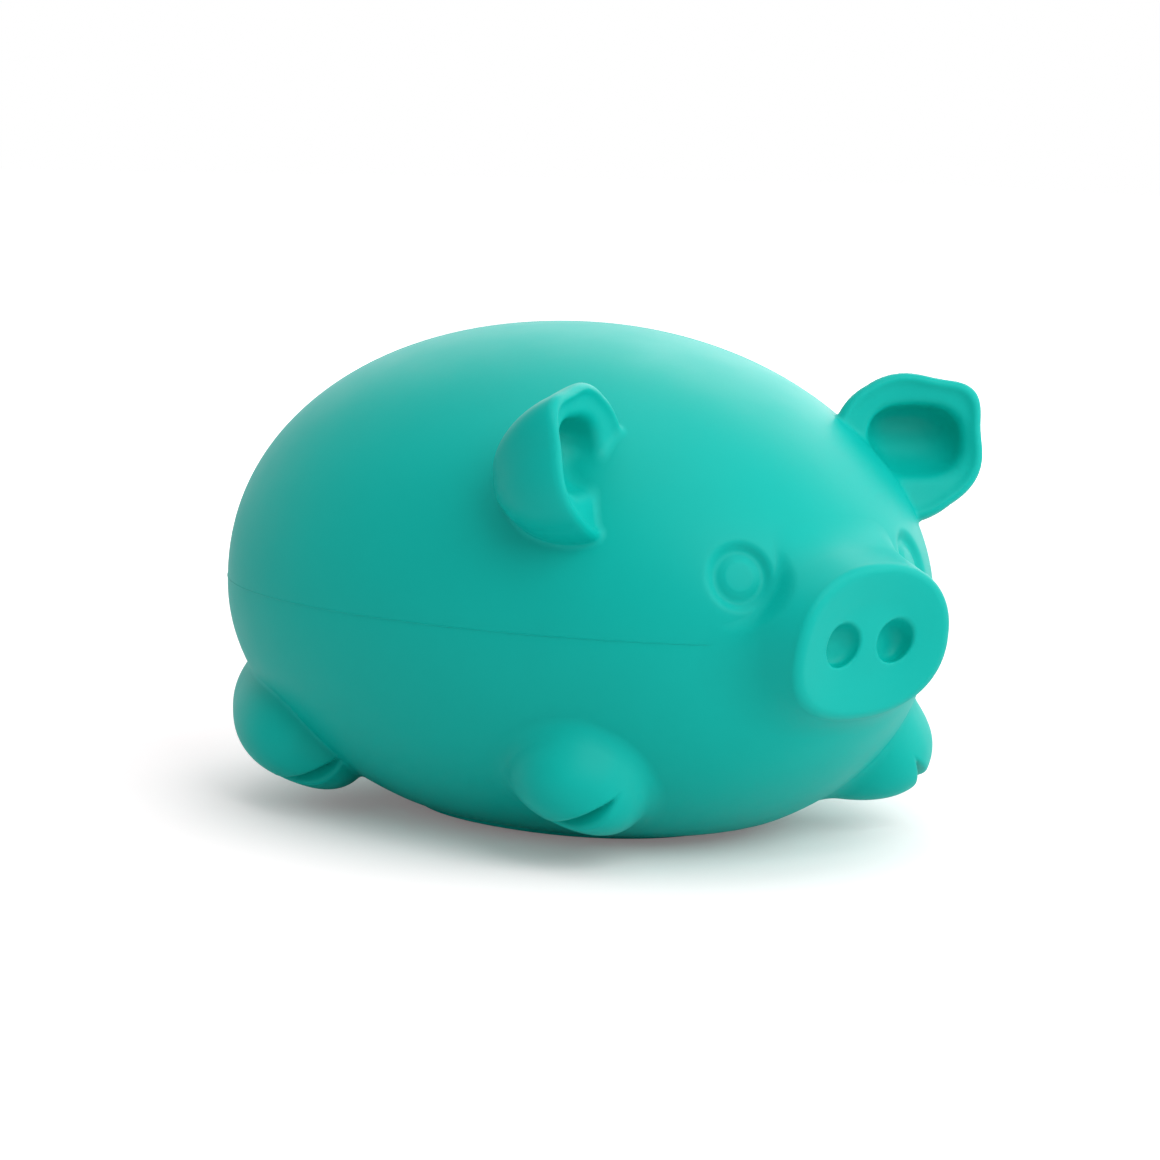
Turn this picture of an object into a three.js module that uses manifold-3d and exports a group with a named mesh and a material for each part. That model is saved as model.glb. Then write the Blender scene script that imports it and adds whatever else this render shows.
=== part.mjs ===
// Pig squishy toy: a hollow pig moulded in soft rubber around a lump of kneadable filling.
// Millimetres, +Z up. The pig faces -Y and +X is its left side.
// The origin is on the surface it rests on, under the middle of its belly.
import * as THREE from 'three';
import { mergeVertices } from 'three/addons/utils/BufferGeometryUtils.js';
import Module from 'manifold-3d';

const wasm = await Module();
wasm.setup();

// Driving dimensions of the egg-shaped body
const BODY_HALF_LENGTH = 46;
const BODY_HALF_WIDTH = 38.7;
const BACK_HEIGHT = 31.3; // from the parting plane up to the back
const BELLY_DEPTH = 29.3; // from the parting plane down to the unsquashed belly
const WIDTH_TAPER = 0.155; // share by which the nose end is narrower than the middle
const BACK_TAPER = 0.108; // the same for the height of the back
const BELLY_TAPER = -0.039; // the belly is a little deeper towards the nose
const SECTION_POWER = 2.12; // 2 is an ellipse, more is squarer
const BELLY_SAG = 2.95; // how far the belly is flattened where the toy rests
const OUTSIDE_GRID = { sides: 40, rings: 22 };
const INSIDE_GRID = { sides: 28, rings: 16 };

// The moulded skin
const SKIN_WALL = 2.4;
const CLEARANCE = 0.3; // between pieces that touch
const SQUEEZE_TRAVEL = 12; // how far the upper half can be pressed down

// The closed fill hole under the belly
const PATCH_RADIUS = 20.5;
const PATCH_THICKNESS = 0.9;
const PATCH_STANDS_PROUD = 0.3;
const PATCH_SIDES = 48;
const PLUG_RADIUS = 4.7;
const PLUG_BARB = 1.5; // how far the barb reaches past the stem
const PLUG_BARB_THICKNESS = 1.2;
const PLUG_SIDES = 24;

// The snout: a short fat disc with a rounded rim and a dished face
const SNOUT_HALF_WIDTH = 12.6;
const SNOUT_HALF_HEIGHT = 8.9;
const SNOUT_RISE = 0.2; // its middle above the parting plane
const SNOUT_PROJECTION = 1.9; // its face in front of the body's nose end
const SNOUT_RIM_RADIUS = 2.6;
const SNOUT_FLARE = 2.4; // how far its side wall spreads towards the back
const SNOUT_LENGTH = 9; // from its face back to its hidden end
const SNOUT_DISH = 0.5;
const SNOUT_POWER = 2.15;
const SNOUT_SIDES = 40;
const SNOUT_WALL_STEPS = 4;
const SNOUT_RIM_STEPS = 4;
const NOSTRIL_SPACING = 7;
const NOSTRIL_HALF_WIDTH = 2.4;
const NOSTRIL_HALF_HEIGHT = 2.4;
const NOSTRIL_DEPTH = 4.2;
const NOSTRIL_GRID = { sides: 16, rings: 12 };

// The eyes: a low dome inside a ring-shaped moat
const EYE_SPACING = 26.6;
const EYE_RISE = 7;
const EYE_MOAT_RADIUS = 3;
const EYE_MOAT_WIDTH = 1.3;
const EYE_GRID = { round: 8, along: 28 };

// The ears: thick cupped leaves that open forwards
const EAR_BEHIND_NOSE = 19.3;
const EAR_ANGLE = 52; // degrees from straight up round the body's section
const EAR_REACH = 14.3; // from the middle of the root to the tip
const EAR_TOWARDS_TIP = new THREE.Vector3(-0.756, -0.276, 0.593);
const EAR_OUT_OF_CUP = new THREE.Vector3(0.45, -0.878, 0.165);
const EAR_MIDDLE_FROM_TIP = 10.5;
const EAR_LEAF_RADIUS = 8.1;
const EAR_LEAF_WIDENING = 0.3; // to both sides of its middle
const EAR_WIDENING_LOW = 0.6; // share by which that is more at the root and less at the tip
const EAR_TIP_POINT = 2.1;
const EAR_TIP_SPREAD = 20.7; // degrees
const EAR_ROOT_DEPTH = 1.35;
const EAR_BACK_DEPTH = 10.15;
const EAR_BACK_POWER = 1.78;
const EAR_BACK_LEAN = 0.243; // the back's middle shifts towards the lower root end by this share
const EAR_EDGE_RADIUS = 0.4;
const EAR_RIM_WIDTH = 2.3;
const EAR_DISH = 1;
const EAR_CUP = { halfAcross: 4.5, halfAlong: 4.6, depth: 5, towardsTip: 1.9 };
const EAR_YIELD = 1.1; // how far its lower end gives way when the squeezed toy pushes it up
const EAR_SIDES = 36;
const EAR_BACK_STEPS = 6;
const EAR_CUP_GRID = { sides: 20, rings: 14 };

// The feet: mittens that are wider below, with one cleft between two toes
// Each is rooted at a place of the skin, and its own middle lies inside the body from there.
// The last number turns it round the upright, in degrees.
const FRONT_FOOT = {
  behindNose: 20, angle: 127, inside: new THREE.Vector3(5.8, 4.1, 6.38), turned: 0,
};
const REAR_FOOT = {
  behindNose: 69.3, angle: 124, inside: new THREE.Vector3(1.61, -2.55, 5.93), turned: 7.6,
};
const FOOT_UPWARDS = new THREE.Vector3(0.165, -0.359, 0.919);
const FOOT_FORWARDS = new THREE.Vector3(-0.633, -0.753, -0.18);
const FOOT_HALF_HEIGHT = 11.3;
const FOOT_HALF_LENGTH = 12.7;
const FOOT_HALF_THICKNESS = 7.6;
const FOOT_POWER = 2.5;
const FOOT_TAPER = 0.5; // share by which the top is thinner than the middle
const FOOT_GRID = { sides: 32, rings: 20 };
const CLEFT_START = new THREE.Vector3(-3.25, 12.6, 4.1); // in the foot's own frame
const CLEFT_ANGLE = 219; // degrees
const CLEFT_DELAY = 2.1; // from its start to the place where it begins to cut
const CLEFT_LEAD = 2; // its length before that place, clear of the toes
const CLEFT_SLOPE = 0.44; // how fast it gets deeper
const CLEFT_LENGTH = 11;
const CLEFT_OPENING = { above: 0.06, below: 0.75 }; // slopes of its two walls

// The tail: one small moulded curl
const TAIL_RISE = 7;
const TAIL_CURL_RADIUS = 3.1;
const TAIL_CURL_TURNS = 1.15;
const TAIL_CURL_PITCH = 3.6;
const TAIL_LEAD = 1.6; // how far it comes straight out before it winds
const TAIL_ROOT_DEPTH = 2.5;
const TAIL_THICKNESS = 3;
const TAIL_TIP_THICKNESS = 1.5;
const TAIL_STEPS = 28;
const TAIL_LEAD_STEPS = 5;
const TAIL_SIDES = 8;

// Places that follow from the driving dimensions
const PARTING_HEIGHT = BELLY_DEPTH - BELLY_SAG;
const FAR = 4 * (BODY_HALF_LENGTH + BODY_HALF_WIDTH);
const BELOW_MIDDLE = PARTING_HEIGHT / 2; // what cuts the belly from below ends here
const PATCH_BURIED = PATCH_THICKNESS - PATCH_STANDS_PROUD;
const RECESS_DEPTH = PATCH_BURIED + CLEARANCE;
const RIGHT = -1;
const LEFT = 1;
const BISECTIONS = 40;

const rad = THREE.MathUtils.degToRad;
const signedPower = (value, power) => Math.sign(value) * Math.abs(value) ** power;

// Geometry to solid, and back
function solid(geometry) {
  const bare = geometry.clone();
  for (const name of Object.keys(bare.attributes)) {
    if (name !== 'position') bare.deleteAttribute(name);
  }
  const merged = mergeVertices(bare, 1e-4);
  const vertProperties = new Float32Array(merged.attributes.position.array);
  const triVerts = new Uint32Array(merged.index.array);
  return new wasm.Manifold(new wasm.Mesh({ numProp: 3, vertProperties, triVerts }));
}

function namedMesh(name, body, colour, roughness) {
  const { vertProperties, triVerts, numProp } = body.getMesh();
  const positions = new Float32Array((vertProperties.length / numProp) * 3);
  for (let i = 0; i < positions.length / 3; i += 1) {
    for (let k = 0; k < 3; k += 1) positions[3 * i + k] = vertProperties[numProp * i + k];
  }
  const geometry = new THREE.BufferGeometry();
  geometry.setAttribute('position', new THREE.BufferAttribute(positions, 3));
  geometry.setIndex(new THREE.BufferAttribute(new Uint32Array(triVerts), 1));
  geometry.computeVertexNormals();
  const material = new THREE.MeshStandardMaterial({ color: colour, roughness, metalness: 0 });
  const mesh = new THREE.Mesh(geometry, material);
  mesh.name = name;
  return mesh;
}

// A piece of the right side put in its place, or its mirror image on the left side
function placed(body, place, side) {
  const onRight = body.transform(place.elements);
  return side === RIGHT ? onRight : onRight.mirror([1, 0, 0]);
}

// A closed skin over rings of points, with a pole point at each end
function loft(firstPole, rings, lastPole) {
  const points = [firstPole, ...rings.flat(), lastPole];
  const count = rings[0].length;
  const index = [];
  const at = (ring, side) => 1 + ring * count + (side % count);
  const last = points.length - 1;
  for (let side = 0; side < count; side += 1) {
    index.push(0, at(0, side + 1), at(0, side));
    index.push(last, at(rings.length - 1, side), at(rings.length - 1, side + 1));
    for (let ring = 0; ring + 1 < rings.length; ring += 1) {
      index.push(at(ring, side), at(ring, side + 1), at(ring + 1, side + 1));
      index.push(at(ring, side), at(ring + 1, side + 1), at(ring + 1, side));
    }
  }
  const geometry = new THREE.BufferGeometry().setFromPoints(points);
  geometry.setIndex(index);
  return geometry;
}

function boxSolid(low, high) {
  const size = high.map((value, k) => value - low[k]);
  const geometry = new THREE.BoxGeometry(...size);
  geometry.translate(...low.map((value, k) => value + size[k] / 2));
  return solid(geometry);
}

const above = (height) => boxSolid([-FAR, -FAR, height], [FAR, FAR, height + 2 * FAR]);

function uprightDisc(radius, low, high, sides) {
  const geometry = new THREE.CylinderGeometry(radius, radius, high - low, sides);
  geometry.rotateX(Math.PI / 2);
  geometry.translate(0, 0, (low + high) / 2);
  return solid(geometry);
}

// The body's half-sizes at a place along its length, from -1 at the tail to 1 at the nose
function bodySection(along, grow = 0) {
  const round = Math.sqrt(Math.max(0, 1 - along * along));
  return {
    width: (BODY_HALF_WIDTH + grow) * round * (1 - WIDTH_TAPER * along),
    back: (BACK_HEIGHT + grow) * round * (1 - BACK_TAPER * along),
    belly: (BELLY_DEPTH + grow) * round * (1 - BELLY_TAPER * along),
  };
}

// The body's surface, grown by an amount
function bodyGeometry(grow, grid = OUTSIDE_GRID) {
  const rings = [];
  const reach = BODY_HALF_LENGTH + grow;
  for (let ring = 1; ring < grid.rings; ring += 1) {
    const along = -Math.cos((Math.PI * ring) / grid.rings);
    const { width, back, belly } = bodySection(along, grow);
    rings.push(Array.from({ length: grid.sides }, (_, side) => {
      const turn = (2 * Math.PI * side) / grid.sides;
      const x = width * signedPower(Math.cos(turn), 2 / SECTION_POWER);
      const lift = signedPower(Math.sin(turn), 2 / SECTION_POWER);
      const z = PARTING_HEIGHT + (lift > 0 ? back : belly) * lift;
      return new THREE.Vector3(x, -reach * along, z);
    }));
  }
  const tail = new THREE.Vector3(0, reach, PARTING_HEIGHT);
  const nose = new THREE.Vector3(0, -reach, PARTING_HEIGHT);
  return loft(tail, rings, nose);
}

// The same with its belly flattened at a height
const bodySolid = (grow, flat, grid) => solid(bodyGeometry(grow, grid)).intersect(above(flat));

// A point on the skin: its distance behind the nose end and its angle from straight up
function skinPoint(behindNose, angle, side) {
  const along = 1 - behindNose / BODY_HALF_LENGTH;
  const { width, back, belly } = bodySection(along);
  const [across, up] = [Math.sin(rad(angle)), Math.cos(rad(angle))];
  const height = up > 0 ? back : belly;
  const sum = Math.abs(across / width) ** SECTION_POWER + Math.abs(up / height) ** SECTION_POWER;
  const radius = sum ** (-1 / SECTION_POWER);
  return new THREE.Vector3(
    side * radius * across, behindNose - BODY_HALF_LENGTH, PARTING_HEIGHT + radius * up);
}

// How far outside the section a point lies: 0 on the skin, below 0 inside
function outside(x, y, rise) {
  const { width, back, belly } = bodySection(Math.max(-1, Math.min(1, -y / BODY_HALF_LENGTH)));
  const height = rise > 0 ? back : belly;
  return Math.abs(x / width) ** SECTION_POWER + Math.abs(rise / height) ** SECTION_POWER - 1;
}

// The point of the skin at a given width and rise, at the nose end or the tail end
function endPoint(x, rise, end) {
  let [inner, outer] = [0, BODY_HALF_LENGTH];
  for (let step = 0; step < BISECTIONS; step += 1) {
    const middle = (inner + outer) / 2;
    if (outside(x, end * middle, rise) < 0) inner = middle;
    else outer = middle;
  }
  return new THREE.Vector3(x, end * inner, PARTING_HEIGHT + rise);
}

function skinNormal(point) {
  const step = 0.01;
  const value = (p) => outside(p.x, p.y, p.z - PARTING_HEIGHT);
  const slope = ['x', 'y', 'z'].map((axis) => {
    const [more, less] = [point.clone(), point.clone()];
    more[axis] += step;
    less[axis] -= step;
    return value(more) - value(less);
  });
  return new THREE.Vector3(...slope).normalize();
}

// The pieces

function skinHalves() {
  const hollow = bodySolid(-SKIN_WALL, PATCH_STANDS_PROUD + SKIN_WALL, INSIDE_GRID);
  const shell = bodySolid(0, PATCH_STANDS_PROUD).subtract(hollow);
  const recess = uprightDisc(PATCH_RADIUS + CLEARANCE, -FAR, BELOW_MIDDLE, PATCH_SIDES)
    .subtract(bodySolid(-RECESS_DEPTH, PATCH_THICKNESS + CLEARANCE));
  const hole = uprightDisc(PLUG_RADIUS + CLEARANCE, -FAR, BELOW_MIDDLE, PLUG_SIDES);
  let upper = shell.intersect(above(PARTING_HEIGHT + CLEARANCE / 2));
  for (const side of [RIGHT, LEFT]) upper = upper.subtract(eyeMoat(side));
  const lower = shell.subtract(above(PARTING_HEIGHT - CLEARANCE / 2)).subtract(recess).subtract(hole);
  return { upper, lower };
}

function eyeMoat(side) {
  const ring = new THREE.TorusGeometry(
    EYE_MOAT_RADIUS, EYE_MOAT_WIDTH / 2, EYE_GRID.round, EYE_GRID.along);
  const middle = endPoint((side * EYE_SPACING) / 2, EYE_RISE, -1);
  const turn = new THREE.Quaternion().setFromUnitVectors(new THREE.Vector3(0, 0, 1), skinNormal(middle));
  ring.applyQuaternion(turn);
  ring.translate(middle.x, middle.y, middle.z);
  return solid(ring);
}

function bellyPatch() {
  const outer = bodySolid(PATCH_STANDS_PROUD, 0);
  const inner = bodySolid(-PATCH_BURIED, PATCH_THICKNESS);
  const disc = uprightDisc(PATCH_RADIUS, -FAR, BELOW_MIDDLE, PATCH_SIDES);
  return outer.intersect(disc).subtract(inner);
}

// The stem goes through the skin, and the barb holds behind the inner wall
function plugSolid(grow) {
  const low = PATCH_THICKNESS + CLEARANCE - grow;
  const behindWall = PATCH_STANDS_PROUD + SKIN_WALL + CLEARANCE - grow;
  const high = behindWall + PLUG_BARB_THICKNESS + 2 * grow;
  const stem = PLUG_RADIUS + grow;
  const profile = [
    [0, low], [stem, low], [stem, behindWall], [stem + PLUG_BARB, behindWall],
    [stem + PLUG_BARB, high - (2 * PLUG_BARB_THICKNESS) / 3], [stem, high], [0, high],
  ].map(([radius, height]) => new THREE.Vector2(radius, height));
  const geometry = new THREE.LatheGeometry(profile, PLUG_SIDES);
  geometry.rotateX(Math.PI / 2);
  return solid(geometry);
}

function filling() {
  const flat = PATCH_STANDS_PROUD + SKIN_WALL + CLEARANCE;
  return bodySolid(-SKIN_WALL - CLEARANCE, flat, INSIDE_GRID).subtract(plugSolid(CLEARANCE));
}

function snout() {
  const face = -BODY_HALF_LENGTH - SNOUT_PROJECTION;
  const middle = PARTING_HEIGHT + SNOUT_RISE;
  const ringAt = (behindFace, grow) => Array.from({ length: SNOUT_SIDES }, (_, side) => {
    const turn = (2 * Math.PI * side) / SNOUT_SIDES;
    const x = (SNOUT_HALF_WIDTH + grow) * signedPower(Math.cos(turn), 2 / SNOUT_POWER);
    const z = (SNOUT_HALF_HEIGHT + grow) * signedPower(Math.sin(turn), 2 / SNOUT_POWER);
    return new THREE.Vector3(x, face + behindFace, middle + z);
  });
  const rings = [ringAt(SNOUT_LENGTH, SNOUT_FLARE)];
  for (let step = SNOUT_WALL_STEPS - 1; step >= 0; step -= 1) {
    const share = step / SNOUT_WALL_STEPS;
    const behind = SNOUT_RIM_RADIUS + share * (SNOUT_LENGTH - SNOUT_RIM_RADIUS);
    rings.push(ringAt(behind, SNOUT_FLARE * share));
  }
  for (let step = 1; step <= SNOUT_RIM_STEPS; step += 1) {
    const turn = (Math.PI * step) / (2 * SNOUT_RIM_STEPS);
    rings.push(ringAt(SNOUT_RIM_RADIUS * (1 - Math.sin(turn)), -SNOUT_RIM_RADIUS * (1 - Math.cos(turn))));
  }
  const dishEdge = (SNOUT_HALF_HEIGHT + SNOUT_RIM_RADIUS) / 2;
  rings.push(ringAt(SNOUT_DISH, -dishEdge));
  const back = new THREE.Vector3(0, face + SNOUT_LENGTH, middle);
  const front = new THREE.Vector3(0, face + SNOUT_DISH, middle);
  let body = solid(loft(back, rings, front));
  for (const side of [RIGHT, LEFT]) {
    const pit = new THREE.SphereGeometry(1, NOSTRIL_GRID.sides, NOSTRIL_GRID.rings);
    pit.scale(NOSTRIL_HALF_WIDTH, NOSTRIL_DEPTH, NOSTRIL_HALF_HEIGHT);
    pit.translate((side * NOSTRIL_SPACING) / 2, face + SNOUT_DISH, middle);
    body = body.subtract(solid(pit));
  }
  return body.subtract(solid(bodyGeometry(CLEARANCE)));
}

// The leaf's outline: a rounded shape with a point at the tip, widening into the root
function leafRadius(turn) {
  const [across, up] = [Math.cos(turn), Math.sin(turn)];
  let fromTip = THREE.MathUtils.radToDeg(turn) - 90;
  if (fromTip > 180) fromTip -= 360;
  return EAR_LEAF_RADIUS
    + EAR_LEAF_WIDENING * across * across * (1 - EAR_WIDENING_LOW * up)
    + EAR_TIP_POINT * Math.exp(-((fromTip / EAR_TIP_SPREAD) ** 2))
    + EAR_ROOT_DEPTH * Math.max(0, -up);
}

// Right ear in its own frame: X along the root line, Y towards the tip, Z out of the cup
function earSolid() {
  const middle = EAR_REACH - EAR_MIDDLE_FROM_TIP;
  const inner = EAR_LEAF_RADIUS - EAR_RIM_WIDTH;
  const profile = [];
  for (let step = 1; step < EAR_BACK_STEPS; step += 1) {
    const turn = (Math.PI * step) / (2 * EAR_BACK_STEPS);
    profile.push([
      EAR_LEAF_RADIUS * Math.sin(turn) ** (2 / EAR_BACK_POWER),
      -EAR_BACK_DEPTH * Math.cos(turn) ** (2 / EAR_BACK_POWER)]);
  }
  const half = Math.SQRT1_2 * EAR_EDGE_RADIUS; // half way round the edge
  profile.push(
    [EAR_LEAF_RADIUS, 0], [EAR_LEAF_RADIUS - EAR_EDGE_RADIUS + half, half],
    [EAR_LEAF_RADIUS - EAR_EDGE_RADIUS, EAR_EDGE_RADIUS], [inner, EAR_EDGE_RADIUS],
    [inner / 2, EAR_EDGE_RADIUS - EAR_DISH / 2]);
  const rings = profile.map(([distance, depth]) => Array.from({ length: EAR_SIDES }, (_, side) => {
    const turn = (2 * Math.PI * side) / EAR_SIDES;
    const radius = (distance * leafRadius(turn)) / EAR_LEAF_RADIUS;
    const lean = EAR_BACK_LEAN * Math.min(depth, 0);
    return new THREE.Vector3(radius * Math.cos(turn) + lean, middle + radius * Math.sin(turn), depth);
  }));
  const backPole = new THREE.Vector3(-EAR_BACK_LEAN * EAR_BACK_DEPTH, middle, -EAR_BACK_DEPTH);
  const facePole = new THREE.Vector3(0, middle, EAR_EDGE_RADIUS - EAR_DISH);
  const cup = new THREE.SphereGeometry(1, EAR_CUP_GRID.sides, EAR_CUP_GRID.rings);
  cup.scale(EAR_CUP.halfAcross, EAR_CUP.halfAlong, EAR_CUP.depth);
  cup.translate(0, middle + EAR_CUP.towardsTip, 0);
  return solid(loft(backPole, rings, facePole)).subtract(solid(cup));
}

function ear(side) {
  const reach = EAR_TOWARDS_TIP.clone().normalize();
  const facing = EAR_OUT_OF_CUP.clone();
  facing.addScaledVector(reach, -facing.dot(reach)).normalize();
  const rootLine = new THREE.Vector3().crossVectors(reach, facing);
  const place = new THREE.Matrix4().makeBasis(rootLine, reach, facing)
    .setPosition(skinPoint(EAR_BEHIND_NOSE, EAR_ANGLE, RIGHT));
  // Its lower end stays above the lower half when the toy is squeezed
  const lowest = PARTING_HEIGHT + SQUEEZE_TRAVEL - EAR_YIELD;
  return placed(earSolid(), place, side).intersect(above(lowest))
    .subtract(solid(bodyGeometry(CLEARANCE)));
}

// A foot's frame: X upwards, Y forwards out of the skin and Z inwards, towards the other foot
function mittenSolid() {
  const rings = [];
  for (let ring = 1; ring < FOOT_GRID.rings; ring += 1) {
    const turn = Math.PI * (ring / FOOT_GRID.rings - 0.5);
    const wide = Math.cos(turn) ** (2 / FOOT_POWER);
    rings.push(Array.from({ length: FOOT_GRID.sides }, (_, side) => {
      const around = (2 * Math.PI * side) / FOOT_GRID.sides;
      const up = wide * signedPower(Math.sin(around), 2 / FOOT_POWER);
      const widening = 1 - FOOT_TAPER * up;
      return new THREE.Vector3(
        FOOT_HALF_HEIGHT * up,
        FOOT_HALF_LENGTH * widening * signedPower(Math.sin(turn), 2 / FOOT_POWER),
        FOOT_HALF_THICKNESS * widening * wide * signedPower(Math.cos(around), 2 / FOOT_POWER),
      );
    }));
  }
  const heel = new THREE.Vector3(0, -FOOT_HALF_LENGTH, 0);
  const tip = new THREE.Vector3(0, FOOT_HALF_LENGTH, 0);
  return solid(loft(heel, rings, tip));
}

// The wedge that parts the toes: it opens forwards and gets deeper along its length
function cleftSolid() {
  const [cos, sin] = [Math.cos(rad(CLEFT_ANGLE)), Math.sin(rad(CLEFT_ANGLE))];
  const mouth = FOOT_HALF_HEIGHT / 2; // how far the wedge reaches in front of the toes
  const at = (along, forwards, over) => new THREE.Vector3(
    along * cos - over * sin, forwards, along * sin + over * cos).add(CLEFT_START);
  const end = (along) => {
    const deep = CLEFT_SLOPE * (along - CLEFT_DELAY);
    const wide = mouth + deep;
    return [at(along, -deep, 0), at(along, mouth, -CLEFT_OPENING.below * wide),
      at(along, mouth, CLEFT_OPENING.above * wide)];
  };
  const points = [...end(CLEFT_DELAY - CLEFT_LEAD), ...end(CLEFT_DELAY + CLEFT_LENGTH)];
  const geometry = new THREE.BufferGeometry().setFromPoints(points);
  const sides = [[0, 1], [1, 2], [2, 0]].flatMap(([a, b]) => [a, b, b + 3, a, b + 3, a + 3]);
  geometry.setIndex([0, 2, 1, 3, 4, 5, ...sides]);
  return solid(geometry);
}

function foot({ behindNose, angle, inside, turned }, side) {
  const forwards = FOOT_FORWARDS.clone().normalize();
  const upwards = FOOT_UPWARDS.clone();
  upwards.addScaledVector(forwards, -upwards.dot(forwards)).normalize();
  const inwards = new THREE.Vector3().crossVectors(upwards, forwards);
  const place = new THREE.Matrix4().makeRotationZ(rad(turned))
    .multiply(new THREE.Matrix4().makeBasis(upwards, forwards, inwards))
    .setPosition(skinPoint(behindNose, angle, RIGHT).add(inside));
  const mitten = placed(mittenSolid().subtract(cleftSolid()), place, side);
  // Its root ends where the rim of the upper half comes to when the toy is squeezed
  return mitten.subtract(above(PARTING_HEIGHT - SQUEEZE_TRAVEL)).subtract(solid(bodyGeometry(CLEARANCE)));
}

// A tapered round tube that comes straight out of the rump and winds once round
function tail() {
  const root = endPoint(0, TAIL_RISE, 1);
  const points = [];
  for (let step = 0; step < TAIL_LEAD_STEPS; step += 1) {
    const back = THREE.MathUtils.lerp(-TAIL_ROOT_DEPTH, TAIL_LEAD, step / TAIL_LEAD_STEPS);
    points.push(new THREE.Vector3(root.x, root.y + back, root.z));
  }
  for (let step = 0; step <= TAIL_STEPS; step += 1) {
    const turn = (2 * Math.PI * TAIL_CURL_TURNS * step) / TAIL_STEPS;
    points.push(new THREE.Vector3(
      root.x + TAIL_CURL_RADIUS * Math.sin(turn),
      root.y + TAIL_LEAD + (TAIL_CURL_PITCH * turn) / (2 * Math.PI),
      root.z + TAIL_CURL_RADIUS * (1 - Math.cos(turn)),
    ));
  }
  const curve = new THREE.CatmullRomCurve3(points, false, 'centripetal');
  const steps = points.length - 1;
  const frames = curve.computeFrenetFrames(steps, false);
  const rings = Array.from({ length: steps + 1 }, (_, step) => {
    const radius = THREE.MathUtils.lerp(TAIL_THICKNESS, TAIL_TIP_THICKNESS, step / steps) / 2;
    const middle = curve.getPointAt(step / steps);
    return Array.from({ length: TAIL_SIDES }, (__, side) => {
      const turn = (2 * Math.PI * side) / TAIL_SIDES;
      return middle.clone()
        .addScaledVector(frames.normals[step], -radius * Math.cos(turn))
        .addScaledVector(frames.binormals[step], -radius * Math.sin(turn));
    });
  });
  const start = curve.getPointAt(0);
  const tip = curve.getPointAt(1).addScaledVector(frames.tangents[steps], TAIL_TIP_THICKNESS / 3);
  return solid(loft(start, rings, tip)).subtract(solid(bodyGeometry(CLEARANCE)));
}

const materials = {
  rubber: [0x14b5a6, 0.5],
  filling: [0xe9dfc4, 0.8],
};

const pig = new THREE.Group();
const halves = skinHalves();
pig.add(namedMesh('skin_upper', halves.upper, ...materials.rubber));
pig.add(namedMesh('skin_lower', halves.lower, ...materials.rubber));
pig.add(namedMesh('filling', filling(), ...materials.filling));
pig.add(namedMesh('fill_plug', plugSolid(0), ...materials.rubber));
pig.add(namedMesh('belly_patch', bellyPatch(), ...materials.rubber));
pig.add(namedMesh('snout', snout(), ...materials.rubber));
pig.add(namedMesh('tail', tail(), ...materials.rubber));
for (const [word, side] of [['right', RIGHT], ['left', LEFT]]) {
  pig.add(namedMesh(`ear_${word}`, ear(side), ...materials.rubber));
  pig.add(namedMesh(`front_foot_${word}`, foot(FRONT_FOOT, side), ...materials.rubber));
  pig.add(namedMesh(`rear_foot_${word}`, foot(REAR_FOOT, side), ...materials.rubber));
}

export default pig;
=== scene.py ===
"""Pig squishy toy: a soft rubber pig with a dough filling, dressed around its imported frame.

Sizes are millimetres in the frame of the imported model, where the pig faces -Y, +X is its left
side and it rests on Z = 0. Each mesh is turned into metres as it is made.
"""

import logging
import math
from dataclasses import dataclass, field
from enum import Enum
from typing import Callable

import bmesh
import bpy
import numpy as np
from mathutils import Matrix, Vector


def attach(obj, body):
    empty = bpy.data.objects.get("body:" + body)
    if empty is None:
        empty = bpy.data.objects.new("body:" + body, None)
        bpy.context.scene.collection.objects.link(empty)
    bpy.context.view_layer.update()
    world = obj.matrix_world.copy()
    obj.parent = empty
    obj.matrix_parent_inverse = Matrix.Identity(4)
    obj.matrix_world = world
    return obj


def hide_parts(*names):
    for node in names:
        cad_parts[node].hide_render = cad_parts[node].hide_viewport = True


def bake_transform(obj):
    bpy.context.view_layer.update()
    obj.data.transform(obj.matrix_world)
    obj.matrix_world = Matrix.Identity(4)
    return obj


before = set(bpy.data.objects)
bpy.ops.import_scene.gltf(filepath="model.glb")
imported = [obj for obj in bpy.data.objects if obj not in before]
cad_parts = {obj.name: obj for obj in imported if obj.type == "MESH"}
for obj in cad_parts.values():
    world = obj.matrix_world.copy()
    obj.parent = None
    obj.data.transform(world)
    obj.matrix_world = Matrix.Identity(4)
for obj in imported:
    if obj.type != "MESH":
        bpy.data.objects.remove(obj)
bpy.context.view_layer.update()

LOG = logging.getLogger("pig")
MM = 0.001
Points = np.ndarray
Faces = np.ndarray
Field = Callable[[Points], np.ndarray]

# The least values that keep divisions off zero
TINY = 1e-9
LEAST_SLOPE = 1e-6
LEAST_BASE = 1e-12

# How often the faces of a ball are divided
BALL_LEVELS = 6


class Side(Enum):
    """The side of the pig that a paired piece is on, as the sign of its X."""

    RIGHT = -1
    LEFT = 1

    @property
    def word(self) -> str:
        """The side's name as the pieces write it."""
        return self.name.lower()


class Slot(Enum):
    """The record's material slots."""

    SKIN = "skin_rubber"
    PATCH = "patch_rubber"
    DOUGH = "filling_dough"


# Shapes as fields: below zero inside, above zero outside


def smooth_step(values: np.ndarray, low: float, high: float) -> np.ndarray:
    """Rises smoothly from 0 at low to 1 at high."""
    share = np.clip((values - low) / (high - low), 0, 1)
    return share * share * (3 - 2 * share)


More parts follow.
